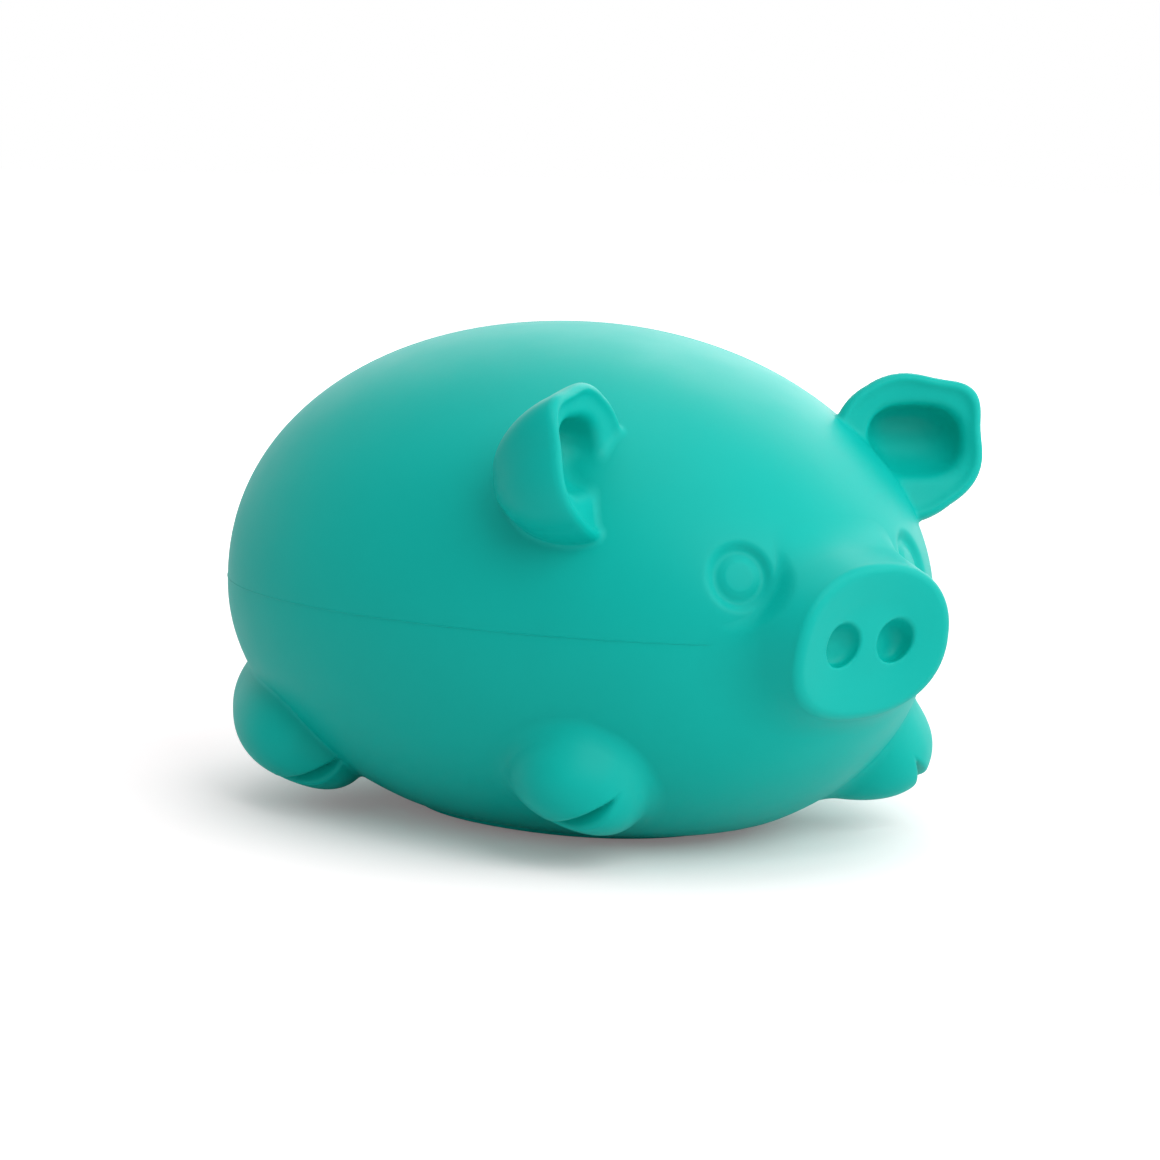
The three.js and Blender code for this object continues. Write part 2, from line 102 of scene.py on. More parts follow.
def smooth_min(first: np.ndarray, second: np.ndarray, reach: float | np.ndarray) -> np.ndarray:
    """The lower of two fields, with a soft hollow where they meet.

    Args:
        first: One field's values.
        second: The other field's values.
        reach: How far apart the fields may be and still be blended.

    Returns:
        The joined field's values.
    """
    share = np.clip(0.5 + 0.5 * (second - first) / reach, 0, 1)
    return second * (1 - share) + first * share - reach * share * (1 - share)


def smooth_max(first: np.ndarray, second: np.ndarray, reach: float | np.ndarray) -> np.ndarray:
    """The higher of two fields, with a rounded edge where they meet."""
    return -smooth_min(-first, -second, reach)


def spline(points: list[tuple[float, float]], steps: int) -> np.ndarray:
    """A smooth curve through points in a plane.

    Args:
        points: The points that it passes through.
        steps: How many pieces each stretch is cut into.

    Returns:
        The curve's points.
    """
    given = np.array(points, float)
    padded = np.vstack([2 * given[0] - given[1], given, 2 * given[-1] - given[-2]])
    share = (np.arange(steps) / steps)[:, None]
    curve = []
    for before, start, end, after in zip(padded, padded[1:], padded[2:], padded[3:]):
        curve.append(0.5 * (
            2 * start + (end - before) * share
            + (2 * before - 5 * start + 4 * end - after) * share ** 2
            + (3 * start - before - 3 * end + after) * share ** 3))
    return np.vstack([*curve, given[-1:]])


@dataclass
class Profile:
    """The distance to a round piece's outline, kept on a fine grid over its radius and depth.

    Attributes:
        outline: Its points, each a radius and a depth, from the axis round to the axis.
        pitch: The size of the grid's cells.
        margin: How far the grid goes beyond the outline.
        low: The grid's first radius and depth.
        table: The distance at each grid point, below zero inside.
    """

    outline: np.ndarray
    pitch: float = 0.06
    margin: float = 5.0
    low: np.ndarray = field(init=False)
    table: np.ndarray = field(init=False)

    def __post_init__(self) -> None:
        """Measures the distance to the outline and its mirror image at every grid point."""
        closed = np.vstack([self.outline, self.outline[::-1] * (-1, 1)])
        start, end = closed, np.roll(closed, -1, axis=0)
        keep = np.linalg.norm(end - start, axis=1) > TINY
        start, end = start[keep], end[keep]
        self.low = np.array([-self.pitch, self.outline[:, 1].min() - self.margin])
        high = self.outline.max(axis=0) + self.margin
        radii = np.arange(self.low[0], high[0], self.pitch)
        depths = np.arange(self.low[1], high[1], self.pitch)
        grid = np.stack(np.meshgrid(radii, depths, indexing="ij"), -1).reshape(-1, 1, 2)
        side = end - start
        share = np.clip(((grid - start) * side).sum(-1) / (side * side).sum(-1), 0, 1)
        gap = np.linalg.norm(grid - start - share[..., None] * side, axis=-1).min(axis=1)
        over = (start[:, 1] > grid[..., 1]) != (end[:, 1] > grid[..., 1])
        drop = np.where(side[:, 1] == 0, 1, side[:, 1])
        cross = start[:, 0] + side[:, 0] * (grid[..., 1] - start[:, 1]) / drop
        inside = (over & (cross > grid[..., 0])).sum(axis=1) % 2 == 1
        self.table = np.where(inside, -gap, gap).reshape(len(radii), len(depths))

    def distance(self, radius: np.ndarray, depth: np.ndarray) -> np.ndarray:
        """The distance at places given by radius and depth, read between grid points.

        Args:
            radius: How far the places are from the axis.
            depth: Where they are along it.

        Returns:
            The distance, below zero inside.
        """
        places = []
        for values, low, count in zip((radius, depth), self.low, self.table.shape):
            place = np.clip((values - low) / self.pitch, 0, count - 1.001)
            cell = place.astype(int)
            places.append((cell, place - cell))
        (i, u), (j, v) = places
        near = self.table[i, j] * (1 - v) + self.table[i, j + 1] * v
        far = self.table[i + 1, j] * (1 - v) + self.table[i + 1, j + 1] * v
        return near * (1 - u) + far * u


def rounded_block(local: Points, half: tuple[float, ...], power: float,
                  widen: np.ndarray | float = 1.0) -> np.ndarray:
    """How far outside a form between a ball and a block points are.

    Args:
        local: The points in the form's own frame.
        half: Its half-sizes.
        power: 2 is an ellipsoid, more is squarer.
        widen: By how much its half-sizes after the first are larger at each point.

    Returns:
        The distance, which is good close to the form.
    """
    share = np.abs(local) / half
    share[:, 1:] /= np.reshape(widen, (-1, 1))
    norm = np.maximum((share ** power).sum(1), TINY) ** (1 / power)
    rise = norm[:, None] ** (1 - power) * share ** (power - 1) / half
    return (norm - 1) / np.maximum(np.linalg.norm(rise, axis=1), LEAST_SLOPE)


def slope(shape: Field, points: Points, step: float = 0.02) -> Points:
    """The way in which a field rises at points.

    Args:
        shape: The field.
        points: Where it is asked.
        step: How far to each side it is sampled.

    Returns:
        The gradient at each point.
    """
    columns = []
    for axis in np.eye(3) * step:
        columns.append((shape(points + axis) - shape(points - axis)) / (2 * step))
    return np.stack(columns, 1)


# Meshes from fields


def surface_net(shape: Field, low: Points, high: Points, pitch: float) -> tuple[Points, Faces]:
    """A closed quad mesh over a field's zero surface.

    Args:
        shape: The field, above zero all round the box's sides.
        low: The box's lowest corner.
        high: The box's highest corner.
        pitch: The size of a grid cell.

    Returns:
        The points and the four-sided faces.
    """
    axes = [np.arange(a, b + pitch, pitch) for a, b in zip(low, high)]
    grid = np.stack(np.meshgrid(*axes, indexing="ij"), -1)
    values = shape(grid.reshape(-1, 3)).reshape(grid.shape[:3])
    cells = tuple(count - 1 for count in values.shape)
    total = np.zeros((math.prod(cells), 3))
    count = np.zeros(math.prod(cells))
    quads = []
    for axis in range(3):
        first, second = [slice(None)] * 3, [slice(None)] * 3
        first[axis], second[axis] = slice(None, -1), slice(1, None)
        start, end = values[tuple(first)], values[tuple(second)]
        crossing = (start < 0) != (end < 0)
        place = np.argwhere(crossing)
        point = place.astype(float)
        point[:, axis] += start[crossing] / (start[crossing] - end[crossing])
        u, v = (axis + 1) % 3, (axis + 2) % 3
        corners = []
        for du, dv in ((0, 0), (-1, 0), (-1, -1), (0, -1)):
            cell = place.copy()
            cell[:, u] += du
            cell[:, v] += dv
            number = np.ravel_multi_index(tuple(cell.T), cells)
            np.add.at(total, number, point)
            np.add.at(count, number, 1)
            corners.append(number)
        quad = np.stack(corners, 1)
        backwards = start[crossing] >= 0
        quad[backwards] = quad[backwards][:, ::-1]
        quads.append(quad)
    used = np.flatnonzero(count)
    lookup = np.zeros(len(count), int)
    lookup[used] = np.arange(len(used))
    points = np.array([axis[0] for axis in axes]) + pitch * total[used] / count[used, None]
    return points, lookup[np.vstack(quads)]


def triangles(faces: Faces, points: Points) -> Faces:
    """Cuts quads into triangles along their shorter diagonal.

    Args:
        faces: The quads.
        points: The mesh's points.

    Returns:
        The triangles.
    """
    a, b, c, d = faces.T
    even = (np.linalg.norm(points[a] - points[c], axis=1)
            <= np.linalg.norm(points[b] - points[d], axis=1))[:, None]
    first = np.where(even, np.stack([a, b, c], 1), np.stack([a, b, d], 1))
    second = np.where(even, np.stack([a, c, d], 1), np.stack([b, c, d], 1))
    return np.vstack([first, second])


def settled(shape: Field, points: Points, faces: Faces, rounds: int, gentlest: float = 0.05,
            longest_step: float = 0.3) -> Points:
    """Spreads a mesh's points evenly over a field's zero surface.

    Args:
        shape: The field.
        points: The mesh's points.
        faces: Its faces, all with the same number of corners.
        rounds: How many times the points are spread and put back on the surface.
        gentlest: The square of the least slope that is reckoned with.
        longest_step: How far a point goes at once.

    Returns:
        The settled points.
    """
    edges = np.vstack([faces[:, [k, (k + 1) % faces.shape[1]]] for k in range(faces.shape[1])])
    edges = np.unique(np.sort(edges, axis=1), axis=0)
    degree = np.bincount(edges.ravel(), minlength=len(points))[:, None]
    for turn in range(rounds + 1):
        if turn < rounds:
            middle = np.zeros_like(points)
            np.add.at(middle, edges[:, 0], points[edges[:, 1]])
            np.add.at(middle, edges[:, 1], points[edges[:, 0]])
            points = 0.5 * points + 0.5 * middle / degree
        for _ in range(2):
            rise = slope(shape, points)
            steep = np.maximum((rise * rise).sum(1), gentlest)
            step = rise * (shape(points) / steep)[:, None]
            size = np.maximum(np.linalg.norm(step, axis=1, keepdims=True), TINY)
            points = points - step * np.minimum(1, longest_step / size)
    return points


def refined(points: Points, faces: Faces, target: Field, put: Callable[[Points], Points],
            rounds: int) -> tuple[Points, Faces]:
    """Splits the edges of triangles that are too long, and leaves the mesh closed.

    Args:
        points: The mesh's points.
        faces: Its triangles.
        target: The longest edge wanted at a place, in the points' own unit.
        put: Puts new points on the surface.
        rounds: How many times the long edges are split.

    Returns:
        The finer points and triangles.
    """
    for _ in range(rounds):
        edges = np.vstack([faces[:, [0, 1]], faces[:, [1, 2]], faces[:, [2, 0]]])
        edges, owner = np.unique(np.sort(edges, axis=1), axis=0, return_inverse=True)
        middle = (points[edges[:, 0]] + points[edges[:, 1]]) / 2
        length = np.linalg.norm(points[edges[:, 0]] - points[edges[:, 1]], axis=1)
        long = length > target(middle)
        if not long.any():
            break
        number = np.full(len(edges), -1)
        number[long] = len(points) + np.arange(long.sum())
        points = np.vstack([points, put(middle[long])])
        new = number[owner.ravel()].reshape(3, -1).T
        count = (new >= 0).sum(axis=1)
        kept = [faces[count == 0]]
        (a, b, c), (ab, bc, ca) = faces[count == 3].T, new[count == 3].T
        kept += [np.stack(t, 1) for t in ((a, ab, ca), (ab, b, bc), (ca, bc, c), (ab, bc, ca))]
        for wanted, shift in ((1, 0), (2, 1)):
            some, split = faces[count == wanted], new[count == wanted]
            odd = (split >= 0) if wanted == 1 else (split < 0)
            first = (odd.argmax(axis=1) + shift) % 3
            order = (first[:, None] + np.arange(3)) % 3
            (a, b, c) = np.take_along_axis(some, order, 1).T
            (ab, bc, _) = np.take_along_axis(split, order, 1).T
            if wanted == 1:
                kept += [np.stack([a, ab, c], 1), np.stack([ab, b, c], 1)]
            else:
                kept += [np.stack(t, 1) for t in ((ab, b, bc), (a, ab, bc), (a, bc, c))]
        faces = np.vstack(kept)
    return points, faces


def mesh_object(name: str, points: Points, faces: Faces | list, side: Side = Side.RIGHT,
                unit: float = MM) -> bpy.types.Object:
    """A smooth-shaded object in metres, with its place in its mesh.

    Args:
        name: The piece's name.
        points: The mesh's points.
        faces: Its faces, turned outwards.
        side: LEFT mirrors a piece that was made for the right side.
        unit: The length of a unit of the points, in metres.

    Returns:
        The new object, linked to the scene.
    """
    points = np.array(points, float) * unit
    faces = [list(map(int, face)) for face in faces]
    if side is Side.LEFT:
        points = points * (-1, 1, 1)
        faces = [face[::-1] for face in faces]
    mesh = bpy.data.meshes.new(name)
    mesh.from_pydata(points.tolist(), [], faces)
    mesh.validate()
    mesh.shade_smooth()
    made = bpy.data.objects.new(name, mesh)
    bpy.context.scene.collection.objects.link(made)
    return made


def move(piece: bpy.types.Object, put: Callable[[Points], Points]) -> None:
    """Moves the points of a mesh.

    Args:
        piece: The object whose mesh it is.
        put: Gives the new places in millimetres for the old ones.
    """
    place = np.empty(len(piece.data.vertices) * 3)
    piece.data.vertices.foreach_get("co", place)
    place = put(place.reshape(-1, 3) / MM) * MM
    piece.data.vertices.foreach_set("co", place.ravel())
    piece.data.update()


def loft(first: Points, rings: list[Points], last: Points) -> tuple[Points, list]:
    """A closed skin over rings of points with a pole at each end.

    Args:
        first: The pole before the first ring.
        rings: Rings with the same number of points, each turning the same way.
        last: The pole after the last ring.

    Returns:
        The points and faces.
    """
    count = len(rings[0])
    points = np.vstack([first, *rings, last])
    faces = []
    end = len(points) - 1
    for k in range(count):
        after = (k + 1) % count
        faces.append([0, 1 + after, 1 + k])
        faces.append([end, end - count + k, end - count + after])
        for ring in range(len(rings) - 1):
            low, high = 1 + ring * count, 1 + (ring + 1) * count
            faces.append([low + k, low + after, high + after, high + k])
    return points, faces


# Node trees


def feed(tree: bpy.types.NodeTree, socket: bpy.types.NodeSocket, value: object) -> None:
    """Gives an input a value, or links another node's output to it.

    Args:
        tree: The node tree.
        socket: The input.
        value: A value or an output.
    """
    if isinstance(value, bpy.types.NodeSocket):
        tree.links.new(value, socket)
    else:
        socket.default_value = value


class Rule:
    """A geometry node tree with named sizes, put together a node at a time."""

    def __init__(self, name: str, sizes: dict[str, float]) -> None:
        """Starts a tree.

        Args:
            name: The tree's name.
            sizes: The named inputs and their usual values.
        """
        self.tree = bpy.data.node_groups.new(name, "GeometryNodeTree")
        face = self.tree.interface
        face.new_socket("Geometry", in_out="INPUT", socket_type="NodeSocketGeometry")
        for size, value in sizes.items():
            socket = face.new_socket(size, in_out="INPUT", socket_type="NodeSocketFloat")
            socket.default_value = value
        face.new_socket("Finish", in_out="INPUT", socket_type="NodeSocketMaterial")
        face.new_socket("Geometry", in_out="OUTPUT", socket_type="NodeSocketGeometry")
        self.given = self.tree.nodes.new("NodeGroupInput").outputs

    def add(self, kind: str, inputs: dict | None = None, **settings: object) -> bpy.types.Node:
        """Adds a node.

        Args:
            kind: The node's type.
            inputs: Values or outputs for its inputs, by name or number.
            **settings: The node's own settings.

        Returns:
            The node.
        """
        node = self.tree.nodes.new(kind)
        for name, value in settings.items():
            setattr(node, name, value)
        for key, value in (inputs or {}).items():
            feed(self.tree, node.inputs[key], value)
        return node

    def sum(self, operation: str, *values: object) -> bpy.types.NodeSocket:
        """One step of arithmetic on numbers or outputs."""
        node = self.add("ShaderNodeMath", dict(enumerate(values)), operation=operation)
        return node.outputs[0]

    def end(self, geometry: bpy.types.NodeSocket) -> None:
        """Realizes the instances, sets the material and ends the tree.

        Args:
            geometry: The output that holds the finished geometry.
        """
        real = self.add("GeometryNodeRealizeInstances", {0: geometry})
        dressed = self.add("GeometryNodeSetMaterial",
                           {0: real.outputs[0], "Material": self.given["Finish"]})
        smooth = self.add("GeometryNodeSetShadeSmooth", {0: dressed.outputs[0]})
        self.add("NodeGroupOutput", {0: smooth.outputs[0]})

    def grow(self, base: bpy.types.Object, sizes: dict[str, float],
             finish: bpy.types.Material) -> None:
        """Runs the tree on an object and leaves a plain mesh in its place.

        Args:
            base: The object that the tree starts from.
            sizes: Values for the named inputs.
            finish: The material.
        """
        modifier = base.modifiers.new(self.tree.name, "NODES")
        modifier.node_group = self.tree
        for item in self.tree.interface.items_tree:
            if item.in_out == "INPUT" and item.name in sizes:
                modifier[item.identifier] = sizes[item.name]
            elif item.in_out == "INPUT" and item.name == "Finish":
                modifier[item.identifier] = finish
        bpy.context.view_layer.update()
        evaluated = base.evaluated_get(bpy.context.evaluated_depsgraph_get())
        mesh = bpy.data.meshes.new_from_object(evaluated)
        base.modifiers.remove(modifier)
        base.data = mesh
        mesh.name = base.name


# Finishes


@dataclass(frozen=True)
class SoftRubber:
    """Matte, slightly translucent moulded rubber.

    Attributes:
        roughness: Its least and its greatest.
        translucency: The share of light that goes into the rubber and comes out again.
        depth: How far that light goes.
        bleed: How far its red, green and blue go, as shares of that.
        blotch: The size of the large soft changes of colour.
        dull_blotch: The size of the changes of roughness.
        grain: The size of the fine grain.
    """

    name: str = "soft_rubber"
    colour: tuple[float, float, float] = (0.0, 0.485, 0.42)
    deep_colour: tuple[float, float, float] = (0.0, 0.45, 0.39)
    roughness: tuple[float, float] = (0.40, 0.50)
    specular: float = 0.14
    translucency: float = 0.1
    depth: float = 1.2
    bleed: tuple[float, float, float] = (0.15, 1.0, 0.9)
    blotch: float = 16.0
    blotch_detail: float = 3.0
    dull_blotch: float = 16.0 / 3
    dull_detail: float = 4.0
    grain: float = 0.55
    grain_detail: float = 5.0
    grain_height: float = 0.012
    grain_strength: float = 0.6

    def material(self) -> bpy.types.Material:
        """Builds the node material.

        Returns:
            The material.
        """
        made = bpy.data.materials.new(self.name)
        made.use_nodes = True
        tree = made.node_tree
        shader = next(n for n in tree.nodes if n.type == "BSDF_PRINCIPLED")
        place = tree.nodes.new("ShaderNodeTexCoord").outputs["Object"]
        blotches = self.noise(tree, place, self.blotch, self.blotch_detail)
        mixed = tree.nodes.new("ShaderNodeMix")
        mixed.data_type = "RGBA"
        feed(tree, mixed.inputs["Factor"], blotches)
        mixed.inputs[6].default_value = (*self.colour, 1)
        mixed.inputs[7].default_value = (*self.deep_colour, 1)
        feed(tree, shader.inputs["Base Color"], mixed.outputs[2])
        dull = tree.nodes.new("ShaderNodeMapRange")
        feed(tree, dull.inputs["Value"],
             self.noise(tree, place, self.dull_blotch, self.dull_detail))
        dull.inputs["To Min"].default_value, dull.inputs["To Max"].default_value = self.roughness
        feed(tree, shader.inputs["Roughness"], dull.outputs[0])
        bump = tree.nodes.new("ShaderNodeBump")
        bump.inputs["Strength"].default_value = self.grain_strength
        bump.inputs["Distance"].default_value = self.grain_height * MM
        feed(tree, bump.inputs["Height"],
             self.noise(tree, place, self.grain, self.grain_detail))
        feed(tree, shader.inputs["Normal"], bump.outputs[0])
        shader.inputs["Specular IOR Level"].default_value = self.specular
        shader.inputs["Subsurface Weight"].default_value = self.translucency
        shader.inputs["Subsurface Radius"].default_value = self.bleed
        shader.inputs["Subsurface Scale"].default_value = self.depth * MM
        return made

    @staticmethod
    def noise(tree: bpy.types.NodeTree, place: bpy.types.NodeSocket, size: float,
              detail: float) -> bpy.types.NodeSocket:
        """Noise on the piece's own coordinates, with features of a size in millimetres.

        Args:
            tree: The material's nodes.
            place: The piece's coordinates.
            size: The size of the features.
            detail: How many finer layers it has.

        Returns:
            The noise, from 0 to 1.
        """
        node = tree.nodes.new("ShaderNodeTexNoise")
        feed(tree, node.inputs["Vector"], place)
        node.inputs["Scale"].default_value = 1 / (size * MM)
        node.inputs["Detail"].default_value = detail
        return node.outputs["Fac"]


# The body's egg


@dataclass(frozen=True)
class Egg:
    """The body's rule: rounded sections that narrow towards the nose.

    Attributes:
        back_height: How far the back is above the parting plane.
        belly_depth: How far the belly would hang below that plane if it were not flat.
        width_taper: The share of its width that the body loses from its middle to its nose.
        power: How square the sections are. 2 is an ellipse.
        sag: How much of the belly is flattened by the floor.
    """

    half_length: float = 46.0
    half_width: float = 38.7
    back_height: float = 31.3
    belly_depth: float = 29.3
    width_taper: float = 0.155
    back_taper: float = 0.108
    belly_taper: float = -0.039
    power: float = 2.12
    sag: float = 2.95
    flat_softness: float = 0.4
    end_tolerance: float = 1e-4

    @property
    def parting(self) -> float:
        """The height of the plane in which the mould parts."""
        return self.belly_depth - self.sag

    def section(self, along: np.ndarray, rise: np.ndarray) -> tuple:
        """The half-width, height and height's taper of the section at places along the body.

        Args:
            along: From -1 at the tail to 1 at the nose.
            rise: Below zero for the belly.

        Returns:
            The half-width, the height and its taper.
        """
        under = rise < 0
        taper = np.where(under, self.belly_taper, self.back_taper)
        height = np.where(under, self.belly_depth, self.back_height)
        return self.half_width * (1 - self.width_taper * along), height * (1 - taper * along), taper

    def distance(self, points: Points) -> np.ndarray:
        """How far outside the body points are, close to the skin.

        Args:
            points: The points, in millimetres.

        Returns:
            The distance.
        """
        x, y, z = points.T
        rise, along = z - self.parting, -y / self.half_length
        wide, high, taper = self.section(along, rise)
        across, up = np.abs(x) / wide, np.abs(rise) / high
        norm = np.maximum(across ** self.power + up ** self.power, TINY) ** (1 / self.power)
        share = norm ** (1 - self.power)
        towards_x = share * across ** (self.power - 1) / wide
        towards_z = share * up ** (self.power - 1) / high
        towards_nose = share * (
            across ** self.power * self.width_taper / (1 - self.width_taper * along)
            + up ** self.power * taper / (1 - taper * along))
        radius = np.sqrt(norm ** 2 + along ** 2)
        lengthwise = (norm * towards_nose + along) / self.half_length
        steep = np.sqrt((norm * towards_x) ** 2 + (norm * towards_z) ** 2 + lengthwise ** 2)
        return radius * (radius - 1) / np.maximum(steep, LEAST_SLOPE)

    def skin_point(self, behind_nose: float, angle: float) -> Points:
        """A point of the right flank: its distance behind the nose and its angle from straight up.

        Args:
            behind_nose: The distance behind the nose.
            angle: The angle in degrees.

        Returns:
            The point on the skin.
        """
        along = 1 - behind_nose / self.half_length
        across, up = math.sin(math.radians(angle)), math.cos(math.radians(angle))
        wide, high, _ = self.section(np.array(along), np.array(up))
        norm = (abs(across / wide) ** self.power + abs(up / high) ** self.power) ** (1 / self.power)
        reach = math.sqrt(1 - along * along) / norm
        return np.array([-reach * across, behind_nose - self.half_length,
                         self.parting + reach * up])

    def end_point(self, x: float, rise: float, end: int) -> Points:
        """The skin's point with this X and rise, at the nose end (-1) or the tail end (1).

        Args:
            x: Its X.
            rise: Its height over the parting plane.
            end: The end.

        Returns:
            The point on the skin.
        """
        inner, outer = 0.0, self.half_length
        while outer - inner > self.end_tolerance:
            middle = (inner + outer) / 2
            point = np.array([x, end * middle, self.parting + rise])
            inner, outer = (middle, outer) if self.distance(point[None])[0] < 0 else (inner, middle)
        return point

    def ball_point(self, ball: Points) -> Points:
        """Where the rule puts points of a ball of radius 1.

        Args:
            ball: The ball's points.

        Returns:
            The points of the body.
        """
        along = -ball[:, 1]
        wide, high, _ = self.section(along, ball[:, 2])
        base = np.sqrt(np.maximum(1 - along ** 2, LEAST_BASE))
        turned = ball[:, [0, 2]] / base[:, None]
        bent = np.sign(turned) * np.abs(turned) ** (2 / self.power) * base[:, None]
        return np.stack([wide * bent[:, 0], ball[:, 1] * self.half_length,
                         self.parting + high * bent[:, 1]], 1)

    def under_height(self, x: np.ndarray, y: np.ndarray, grow: float) -> np.ndarray:
        """The height of the belly's underside over points of the ground, grown by an amount.

        Args:
            x: Their X.
            y: Their Y.
            grow: By how much the body is grown.

        Returns:
            The heights.
        """
        along = -y / (self.half_length + grow)
        wide, high, _ = self.section(along, np.full_like(along, -1.0))
        across = np.abs(x) / (wide * (1 + grow / self.half_width))
        left = (1 - along ** 2) ** (self.power / 2) - across ** self.power
        deep = high * (1 + grow / self.belly_depth)
        return self.parting - deep * np.maximum(left, 0) ** (1 / self.power)

    def rule(self) -> Rule:
        """The node tree that turns a ball of radius 1 into the body.

        Returns:
            The tree.
        """
        rule = Rule("egg_rule", {
            "Half Length": self.half_length * MM, "Half Width": self.half_width * MM,
            "Back Height": self.back_height * MM, "Belly Depth": self.belly_depth * MM,
            "Width Taper": self.width_taper, "Back Taper": self.back_taper,
            "Belly Taper": self.belly_taper, "Section Power": self.power,
            "Parting Height": self.parting * MM, "Flat Height": 0.0,
            "Flat Softness": self.flat_softness * MM})
        size, do = rule.given, rule.sum
        ball = rule.add("ShaderNodeSeparateXYZ",
                        {0: rule.add("GeometryNodeInputPosition").outputs[0]}).outputs
        along = do("MULTIPLY", ball[1], -1.0)
        base = do("SQRT", do("MAXIMUM", do("SUBTRACT", 1.0, do("MULTIPLY", along, along)), TINY))
        power = do("DIVIDE", 2.0, size["Section Power"])

        def bent(part: bpy.types.NodeSocket) -> bpy.types.NodeSocket:
            """A coordinate of the round section as it is on the squarer one.

            Args:
                part: The coordinate.

            Returns:
                The coordinate on the squarer section.
            """
            turned = do("DIVIDE", part, base)
            raised = do("POWER", do("ABSOLUTE", turned), power)
            return do("MULTIPLY", do("MULTIPLY", do("SIGN", turned), raised), base)

        def tapered(half: str, taper: str) -> bpy.types.NodeSocket:
            """A half-size at this place along the body."""
            narrowed = do("SUBTRACT", 1.0, do("MULTIPLY", size[taper], along))
            return do("MULTIPLY", size[half], narrowed)

        over = do("GREATER_THAN", ball[2], 0.0)
        under = do("SUBTRACT", 1.0, over)
        height = do("ADD", do("MULTIPLY", over, tapered("Back Height", "Back Taper")),
                    do("MULTIPLY", under, tapered("Belly Depth", "Belly Taper")))
        z = do("ADD", size["Parting Height"], do("MULTIPLY", height, bent(ball[2])))
        x = do("MULTIPLY", tapered("Half Width", "Width Taper"), bent(ball[0]))
        y = do("MULTIPLY", size["Half Length"], ball[1])
        flat = do("SMOOTH_MAX", z, size["Flat Height"], size["Flat Softness"])
        place = rule.add("ShaderNodeCombineXYZ", {0: x, 1: y, 2: flat})
        moved = rule.add("GeometryNodeSetPosition",
                         {"Geometry": size["Geometry"], "Position": place.outputs[0]})
        rule.end(moved.outputs[0])
        return rule


EGG = Egg()


def ball_mesh(levels: int) -> tuple[Points, Faces]:
    """A ball of radius 1 made of even triangles.

    Args:
        levels: How often its faces are divided.

    Returns:
        The points and triangles.
    """
    made = bmesh.new()
    bmesh.ops.create_icosphere(made, subdivisions=levels, radius=1)
    points = np.array([v.co for v in made.verts], float)
    faces = np.array([[v.index for v in f.verts] for f in made.faces])
    made.free()
    return points, faces


def on_ball(points: Points) -> Points:
    """Puts points back on a ball of radius 1."""
    return points / np.linalg.norm(points, axis=1, keepdims=True)


@dataclass(frozen=True)
class Eye:
    """A dished button in a ring-shaped moat, one on each side above the snout.

    Attributes:
        spacing: The distance between the two eyes' middles.
        rise: Their height over the parting plane.
        moat_inner: The width of the moat's inner slope.
        moat_outer: The width of the moat's outer slope.
        dome_rise: How far the button's middle stands out, below zero where it is dished.
        dome_share: Where its edge begins, as a share of the moat radius.
        stretch: How much taller than wide the eye is.
    """

    spacing: float = 26.0
    rise: float = 7.4
    moat_radius: float = 2.6
    moat_depth: float = 0.8
    moat_inner: float = 0.6
    moat_outer: float = 0.8
    moat_power: float = 2.2
    dome_rise: float = -0.5
    dome_share: float = 0.65
    stretch: float = 1.06
    reach: float = 8.0

    def place(self) -> tuple[Points, Points]:
        """The middle of the right eye and the direction that it looks in.

        Returns:
            The middle and the direction.
        """
        middle = EGG.end_point(-self.spacing / 2, self.rise, -1)
        facing = slope(EGG.distance, middle[None])[0]
        return middle, facing / np.linalg.norm(facing)

    def radius(self, points: Points) -> np.ndarray:
        """How far points are from the axis of the eye on their side.

        Args:
            points: The points, in millimetres.

        Returns:
            The distances.
        """
        middle, facing = self.place()
        off = np.stack([-np.abs(points[:, 0]), points[:, 1], points[:, 2]], 1) - middle
        off = off - np.outer(off @ facing, facing)
        up = np.array([0, 0, 1]) - facing[2] * facing
        high = off @ (up / np.linalg.norm(up))
        return np.sqrt((off * off).sum(1) - high ** 2 + (high / self.stretch) ** 2)

    def relief(self, points: Points) -> np.ndarray:
        """How far the eye stands out of the egg at points, below zero in the moat.

        Args:
            points: The points, in millimetres.

        Returns:
            The relief.
        """
        radius = self.radius(points)
        width = np.where(radius < self.moat_radius, self.moat_inner, self.moat_outer)
        off = np.abs((radius - self.moat_radius) / width)
        moat = -self.moat_depth * np.exp(-off ** self.moat_power)
        edge = self.dome_share * self.moat_radius
        dome = self.dome_rise * (1 - smooth_step(radius, edge, self.moat_radius))
        return np.where((points[:, 1] < 0) & (radius < self.reach), moat + dome, 0)


EYE = Eye()


# What stands out of the skin


